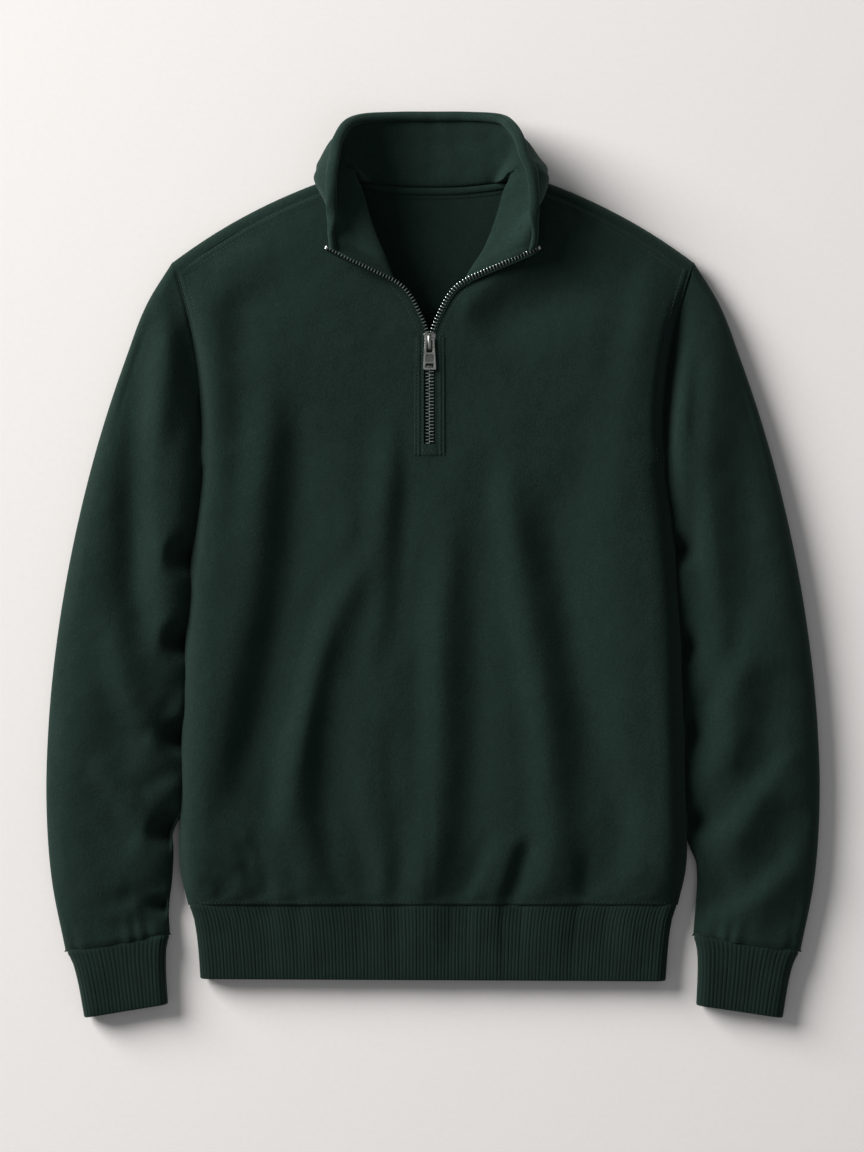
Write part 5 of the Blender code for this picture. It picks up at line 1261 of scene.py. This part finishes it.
def strip(name, edges, ups, thick, looks, *nodes):
    """A strip of zip tape between two lines of points."""
    share = np.linspace(0, 1, TAPE_COLUMNS)[None, :, None]
    outer = edges[0][:, None] * (1 - share) + edges[1][:, None] * share
    outer = outer + ups[:, None] * 0.00012 * np.cos(share * 6 * math.pi)
    return ride(wall(name, outer, outer - ups[:, None] * thick, looks["tape"]), "zip_tape", *nodes)


def make_teeth(name, places, ways, outs, ups, sizes, looks):
    """Zip teeth: a clamped foot with a rounded head each. `outs` points to the other side."""
    around = [(-1, -0.4), (-0.6, -1), (0.6, -1), (1, -0.4), (1, 0.4), (0.6, 1), (-0.6, 1), (-1, 0.4)]
    shape = np.array([[row.at, a * row.wide / 2, u * row.high / 2] for row in TOOTH for a, u in around]) * sizes
    return swarm(name, shape, len(around), places, (outs, ways, ups), looks["teeth"], "zip_metal")


def make_zip(looks):
    """The closed chain, and the two free sides along the V to the collar's corners."""
    pieces = []
    y = np.linspace(ZIP_FOOT_Y - 0.004, SLIDER_Y + 0.002, CHAIN_SAMPLES)
    for side, name, nodes in ((-1, "left", ["zip_chain"]), (1, "right", [])):
        near = np.column_stack([0 * y + ZIP_X + side * 0.0002, y, 0 * y + CHAIN_TOP - 0.0007])
        edges = [near, near + [side * 0.0066, 0, -0.0008]][::side]
        pieces.append(strip("chain_tape_" + name, edges, np.tile(UP, (CHAIN_SAMPLES, 1)), 0.0006, looks, *nodes))
    rows = np.arange(ZIP_FOOT_Y + 0.001, SLIDER_Y - 0.002, TOOTH_PITCH / 2)
    side = np.where(np.arange(len(rows)) % 2, 1.0, -1.0)
    places = np.column_stack([ZIP_X + side * 0.0016, rows, 0 * rows + CHAIN_TOP - 0.0002])
    ways, ups = (np.tile(way, (len(rows), 1)) for way in ([0, 1, 0], UP))
    outs = np.outer(-side, [1, 0, 0])
    pieces.append(make_teeth("chain_teeth", places, ways, outs, ups, CHAIN_TOOTH, looks))
    for name, turn in (("left", 1), ("right", -1)):
        line = np.vstack([[ZIP_X - 0.0016, SLIDER_Y, ZIP_TOP], ZIP_LINE])
        lengths = path_lengths(line)
        line = smooth_curve(lengths, line, np.linspace(0, lengths[-1], VEE_SAMPLES))
        line = line if turn > 0 else mirrored(line)
        way = unit(np.gradient(line, axis=0))
        level = unit(np.cross(way, UP)) * turn
        up = unit(np.cross(level, way))
        up = np.where(up[:, 2:] < 0, -up, up)
        sink = line - up * 0.0002
        edges = [sink - level * TAPE_OUT, sink + level * TAPE_IN][::turn]
        pieces.append(strip("tape_" + name, edges, up, 0.0007, looks, "zip_" + name))
        places, ways, _ = along_path(line, TOOTH_PITCH)
        at = np.linspace(0, 1, len(places))
        outs, ups = (read_along(rows, np.linspace(0, 1, VEE_SAMPLES), at) for rows in (level, up))
        heads = places + outs * 0.0011 + ups * 0.0007
        pieces.append(make_teeth("teeth_" + name, heads, ways, unit(outs), unit(ups), FREE_TOOTH, looks))
    return pieces


def metal_piece(name, sections, bevel, material, *nodes):
    """A closed body through sections that share one count of points, with its sharp edges rounded."""
    bm = bmesh.new()
    rings = [[bm.verts.new(p) for p in section] for section in sections]
    n = len(rings[0])
    for a, b in zip(rings, rings[1:]):
        for i in range(n):
            bm.faces.new([a[i], a[(i + 1) % n], b[(i + 1) % n], b[i]])
    bm.faces.new(rings[0][::-1])
    bm.faces.new(rings[-1])
    sharp = [e for e in bm.edges if len(e.link_faces) == 2 and e.calc_face_angle(0) > math.radians(25)]
    bmesh.ops.bevel(bm, geom=sharp, offset=bevel, segments=2, affect="EDGES", profile=0.5)
    return ride(finished(name, bm, material, 40), "zip_metal", *nodes)


def slider_plate(low, high):
    """Sections of the slider's waisted plate between two heights."""
    rows = np.array(SLIDER_ROWS)
    at = np.linspace(rows[0, 0], rows[-1, 0], 20)
    half = smooth_curve(rows[:, 0], rows[:, 1:], at)[:, 0]
    line = np.concatenate([np.column_stack([half, at]), np.column_stack([-half, at])[::-1]])
    centre = np.array([ZIP_X, SLIDER_Y - 0.0025])
    return [
        [(*(centre + (point + [0, 0.0025]) * scale), z) for point in line]
        for scale, z in ((1.0, low), (1.0, high - 0.0003), (0.86, high), (0.45, high))
    ]


def make_slider(looks):
    """The slider: a waisted plate over the chain, one under it, a well and a bail for the pull."""
    metal = looks["metal"]
    metal_piece("zip_slider_plate", slider_plate(PLATE_TOP - SLIDER_PLATE, PLATE_TOP), 0.00012, metal, "zip_slider")
    under_top = CHAIN_TOP - 0.0014 - SEAM_GAP
    metal_piece("zip_slider_under", slider_plate(under_top - 0.001, under_top), 0.0001, metal)
    sections = []
    for t in np.linspace(0, math.pi, 15):
        y = HINGE_Y - 0.0033 + 0.0065 * math.cos(t)
        z = PLATE_TOP - 0.0003 + (HINGE_RISE + 0.0017) * math.sin(t) ** 0.42
        sections.append([
            (ZIP_X + 0.0015 * math.cos(a), y + math.cos(t) * 0.0005 * math.sin(a), z + math.sin(t) * 0.0005 * math.sin(a))
            for a in np.linspace(0, 2 * math.pi, 8, endpoint=False)
        ])
    metal_piece("zip_slider_bail", sections, 0.00005, metal)
    # the well is a thin near-black sheet on the slider: painted shade where its slot lies
    well = [[(ZIP_X + x, HINGE_Y + y, PLATE_TOP + z) for x, y in outline(SLIDER_WELL)] for z in (-0.0002, 0.0005)]
    metal_piece("zip_slider_well", well, 0.00005, looks["recess"])


def outline(box):
    """Outline of a box with round corners on the hinge's axis, its lower end wider by `flare` on each side."""
    wide = box.half + box.flare
    corners = [(wide, box.bottom, -90), (box.half, box.top, 0), (-box.half, box.top, 90), (-wide, box.bottom, 180)]
    points = []
    for x, y, start in corners:
        middle_x = x - math.copysign(box.radius, x)
        middle_y = y + box.radius if y == box.bottom else y - box.radius
        for a in np.radians(np.linspace(start, start + 90, 5)):
            points.append((middle_x + box.radius * math.cos(a), middle_y + box.radius * math.sin(a)))
    return points


def make_pull(looks):
    """The pull tab from its plates: a flared one with a slot for the bail, a raised frame and a sunk window.
    Each is a flat curve, thickened with round edges, its first box the outline and the others its holes."""
    for plate in PULL_PLATES:
        edge = min(0.0002, (plate.high - plate.low) / 3)
        curve = bpy.data.curves.new(plate.name, "CURVE")
        curve.dimensions = "2D"
        curve.fill_mode = "BOTH"
        curve.extrude = (plate.high - plate.low) / 2 - edge
        curve.bevel_depth = edge
        curve.bevel_resolution = 2
        for box in plate.boxes:
            points = outline(box)
            spline = curve.splines.new("POLY")
            spline.points.add(len(points) - 1)
            for target, (x, y) in zip(spline.points, points):
                target.co = (x, y, 0.0, 1.0)
            spline.use_cyclic_u = True
        flat = placed(plate.name, curve)
        bpy.context.view_layer.update()
        solid = bpy.data.meshes.new_from_object(flat.evaluated_get(bpy.context.evaluated_depsgraph_get()))
        bpy.data.objects.remove(flat)
        bm = bmesh_of(solid)
        bmesh.ops.remove_doubles(bm, verts=bm.verts, dist=1e-6)
        height = PLATE_TOP + HINGE_RISE + (plate.low + plate.high) / 2
        bm.transform(Matrix.Translation((ZIP_X, HINGE_Y, height)))
        piece = finished(plate.name, bm, looks[plate.look], 35)
        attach(piece, "pull")
        if plate.name == "pull_tab":
            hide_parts("zip_pull")


# Materials


def wire(node, sockets):
    """Sets a node's inputs: a number or colour on the socket itself, another node's output by a link."""
    for name, value in sockets.items():
        if isinstance(value, bpy.types.NodeSocket):
            node.id_data.links.new(value, node.inputs[name])
        else:
            node.inputs[name].default_value = value
    return node


def shader_of(name):
    material = bpy.data.materials.new(name)
    material.use_nodes = True
    return material, material.node_tree.nodes["Principled BSDF"]


def new_node(shader, kind):
    return shader.id_data.nodes.new("ShaderNode" + kind)


def noise_at(shader, scale, detail=3.0, rough=0.6, distort=0.0, stretch=(1, 1, 1)):
    place = new_node(shader, "TexCoord").outputs["Object"]
    mapping = wire(new_node(shader, "Mapping"), {"Scale": stretch, "Vector": place})
    sockets = {"Scale": scale, "Detail": detail, "Roughness": rough, "Distortion": distort}
    return wire(new_node(shader, "TexNoise"), {**sockets, "Vector": mapping.outputs["Vector"]}).outputs["Fac"]


def ramp(source, low, high, dark, light):
    """A value from `dark` to `light` as the source goes from `low` to `high`."""
    sockets = {"Value": source, "From Min": low, "From Max": high, "To Min": dark, "To Max": light}
    return wire(new_node(source.node, "MapRange"), sockets).outputs["Result"]


def product(first, *others):
    for other in others:
        node = new_node(first.node, "Math")
        node.operation = "MULTIPLY"
        first = wire(node, {0: first, 1: other}).outputs[0]
    return first


def tinted(colour, shade):
    """The colour made lighter or darker by a value."""
    node = new_node(shade.node, "VectorMath")
    node.operation = "SCALE"
    return wire(node, {0: colour, "Scale": shade}).outputs["Vector"]


def bump_of(height, strength, distance, before=None):
    sockets = {"Height": height, "Strength": strength, "Distance": distance}
    if before is not None:
        sockets["Normal"] = before
    return wire(new_node(height.node, "Bump"), sockets).outputs["Normal"]


def sheen(weight, rough):
    return {"Sheen Weight": weight, "Sheen Roughness": rough, "Sheen Tint": (*SHEEN_TINT, 1.0)}


def fleece(name, colour, nap=1.0):
    """Brushed fleece: a short matted nap with soft lighter and darker patches."""
    material, shader = shader_of(name)
    fine = noise_at(shader, 900, 3, 0.65)
    tufts = noise_at(shader, 520, 4, 0.62, 0.6)
    brushed = noise_at(shader, 130, 3, 0.55, 0.5, (1.0, 0.6, 1.0))
    broad = noise_at(shader, 11, 2, 0.5)
    shade = product(
        ramp(tufts, 0.3, 0.72, 0.78, 1.24), ramp(fine, 0.3, 0.7, 0.84, 1.16),
        ramp(brushed, 0.3, 0.7, 0.92, 1.08), ramp(broad, 0.3, 0.7, 0.93, 1.07),
    )
    normal = bump_of(fine, 0.5 * nap, 0.0004)
    normal = bump_of(tufts, 0.6 * nap, 0.0010, normal)
    normal = bump_of(brushed, 0.25 * nap, 0.0012, normal)
    finish = {"Roughness": 0.95, "Specular IOR Level": 0.12, **sheen(FLEECE_SHEEN, 0.50)}
    wire(shader, {"Base Color": tinted(colour, shade), "Normal": normal, **finish})
    return material


def rib_knit(name, colour):
    """Rib knit: fine stitches along each rib."""
    material, shader = shader_of(name)
    loops = noise_at(shader, 1100, 2, 0.5, 0.3, (1.0, 0.6, 1.0))
    shade = product(ramp(loops, 0.3, 0.7, 0.78, 1.22), ramp(noise_at(shader, 45, 3, 0.5), 0.3, 0.7, 0.88, 1.12))
    finish = {"Roughness": 0.9, "Specular IOR Level": 0.18, **sheen(0.18, 0.4)}
    wire(shader, {"Base Color": tinted(colour, shade), "Normal": bump_of(loops, 0.5, 0.0004), **finish})
    return material


def woven(name, colour):
    """Woven tape: a fine herringbone of two crossing waves."""
    material, shader = shader_of(name)
    place = new_node(shader, "TexCoord").outputs["Object"]
    waves = []
    for turn in (45, -45):
        mapping = wire(new_node(shader, "Mapping"), {"Rotation": (0, 0, math.radians(turn)), "Vector": place})
        sockets = {"Scale": 250.0, "Distortion": 0.4, "Vector": mapping.outputs["Vector"]}
        waves.append(wire(new_node(shader, "TexWave"), sockets).outputs["Fac"])
    weave = product(*waves)
    finish = {"Roughness": 0.85, "Specular IOR Level": 0.12}
    colour = tinted(colour, ramp(weave, 0.0, 0.8, 0.7, 1.35))
    wire(shader, {"Base Color": colour, "Normal": bump_of(weave, 0.5, 0.0002), **finish})
    return material


def thread(name, colour):
    material, shader = shader_of(name)
    twist = noise_at(shader, 2600, 2, 0.5, 0.0, (1.0, 0.4, 1.0))
    finish = {"Roughness": 0.6, "Specular IOR Level": 0.35}
    colour = tinted(colour, ramp(twist, 0.3, 0.7, 0.7, 1.3))
    wire(shader, {"Base Color": colour, "Normal": bump_of(twist, 0.4, 0.0002), **finish})
    return material


def nickel(name, colour):
    """Dulled nickel, with fine handling marks and a little tarnish."""
    material, shader = shader_of(name)
    marks = noise_at(shader, 700, 4, 0.6, 0.2, (1.0, 0.35, 1.0))
    colour = tinted(colour, ramp(noise_at(shader, 120, 3, 0.6), 0.3, 0.75, 0.72, 1.1))
    finish = {"Roughness": ramp(marks, 0.3, 0.7, 0.24, 0.42), "Metallic": 1.0}
    wire(shader, {"Base Color": colour, "Normal": bump_of(marks, 0.12, 0.0001), **finish})
    return material


def floor_paint(name):
    material, shader = shader_of(name)
    colour = tinted(FLOOR_TINT, ramp(noise_at(shader, 240, 3, 0.5), 0.3, 0.7, 0.99, 1.01))
    wire(shader, {"Base Color": colour, "Roughness": 0.85, "Specular IOR Level": 0.1})
    return material


# Floor, light and camera


def make_stage():
    bm = bmesh.new()
    bmesh.ops.create_grid(bm, x_segments=1, y_segments=1, size=8.0)
    mesh = bpy.data.meshes.new("floor")
    bm.to_mesh(mesh)
    bm.free()
    mesh.materials.append(floor_paint("floor_paint"))
    floor = placed("floor", mesh)
    floor.location = (0, 0, -0.0002)


def area_light(name, place, size, power, colour):
    """A round soft light aimed at the middle of the garment."""
    lamp = bpy.data.lights.new(name, "AREA")
    lamp.shape = "DISK"
    lamp.size = size
    lamp.energy = power
    lamp.color = colour
    obj = placed(name, lamp)
    obj.location = place
    obj.rotation_euler = (-Vector(place)).to_track_quat("-Z", "Y").to_euler()


def make_light():
    area_light("window", KEY_PLACE, KEY_SIZE, KEY_POWER, KEY_COLOUR)
    area_light("fill", FILL_PLACE, FILL_SIZE, FILL_POWER, FILL_COLOUR)
    world = bpy.data.worlds.new("room")
    world.use_nodes = True
    sockets = {"Color": (*FILL_COLOUR, 1.0), "Strength": WORLD_STRENGTH}
    wire(world.node_tree.nodes["Background"], sockets)
    bpy.context.scene.world = world
    bpy.context.scene.view_settings.view_transform = "Standard"


def make_camera():
    camera = bpy.data.cameras.new("camera")
    camera.lens = CAMERA_LENS
    camera.sensor_width = 36.0
    obj = placed("camera", camera)
    obj.location = CAMERA_PLACE
    bpy.context.scene.camera = obj


def main():
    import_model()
    looks = {
        "fleece": fleece("fleece_cloth", FLEECE_GREEN),
        # the collar's fleece is a lighter copy of the body's: painted light on its shaded leaf
        "collar": fleece("collar_facing", COLLAR_GREEN_LIGHTENED, 0.7),
        "rib": rib_knit("rib_knit", RIB_GREEN),
        "binding": fleece("binding_cloth", BINDING_GREEN, 0.4),
        "tape": woven("zip_tape_weave", TAPE_GREEN),
        "thread": thread("sewing_thread", THREAD_GREEN),
        "metal": nickel("dulled_nickel", NICKEL),
        "teeth": nickel("zip_teeth_metal", TEETH_METAL),
        # near-black nickel: painted shade for the slider's well and the pull window's floor
        "recess": nickel("tarnished_nickel", RECESS_SHADE_METAL),
        # the slider's nickel darkened: painted shade on the pull's face inside its frame
        "face": nickel("pull_face_nickel", FACE_SHADE_METAL),
    }
    front, grid, foot, half_columns = make_front(looks)
    stitches = make_front_stitches(grid, foot, half_columns, looks)
    placket, placket_stitches = make_placket(grid, foot, half_columns, looks)
    back = make_back(looks)
    zip_pieces = [placket_stitches, *make_zip(looks)]
    for name, rings, creases, slopes, side in (
        ("left", SLEEVE_LEFT, SLEEVE_CREASES_LEFT, SLEEVE_SLOPES_LEFT, -1),
        ("right", SLEEVE_RIGHT, SLEEVE_CREASES_RIGHT, SLEEVE_SLOPES_RIGHT, 1),
    ):
        sleeve = make_sleeve("sleeve_" + name, rings, creases, slopes, side, looks)
        cuff = make_cuff("cuff_" + name, rings[-1], side, looks)
    make_hem(looks)
    collar = make_collar(looks, grid[:, :half_columns])
    make_neck_tape(looks)
    make_slider(looks)
    make_pull(looks)
    for name in ("stop_left", "stop_right"):
        stop = bpy.data.objects[name]
        stop.data.materials.clear()
        stop.data.materials.append(looks["metal"])
    make_stage()
    make_light()
    make_camera()


main()
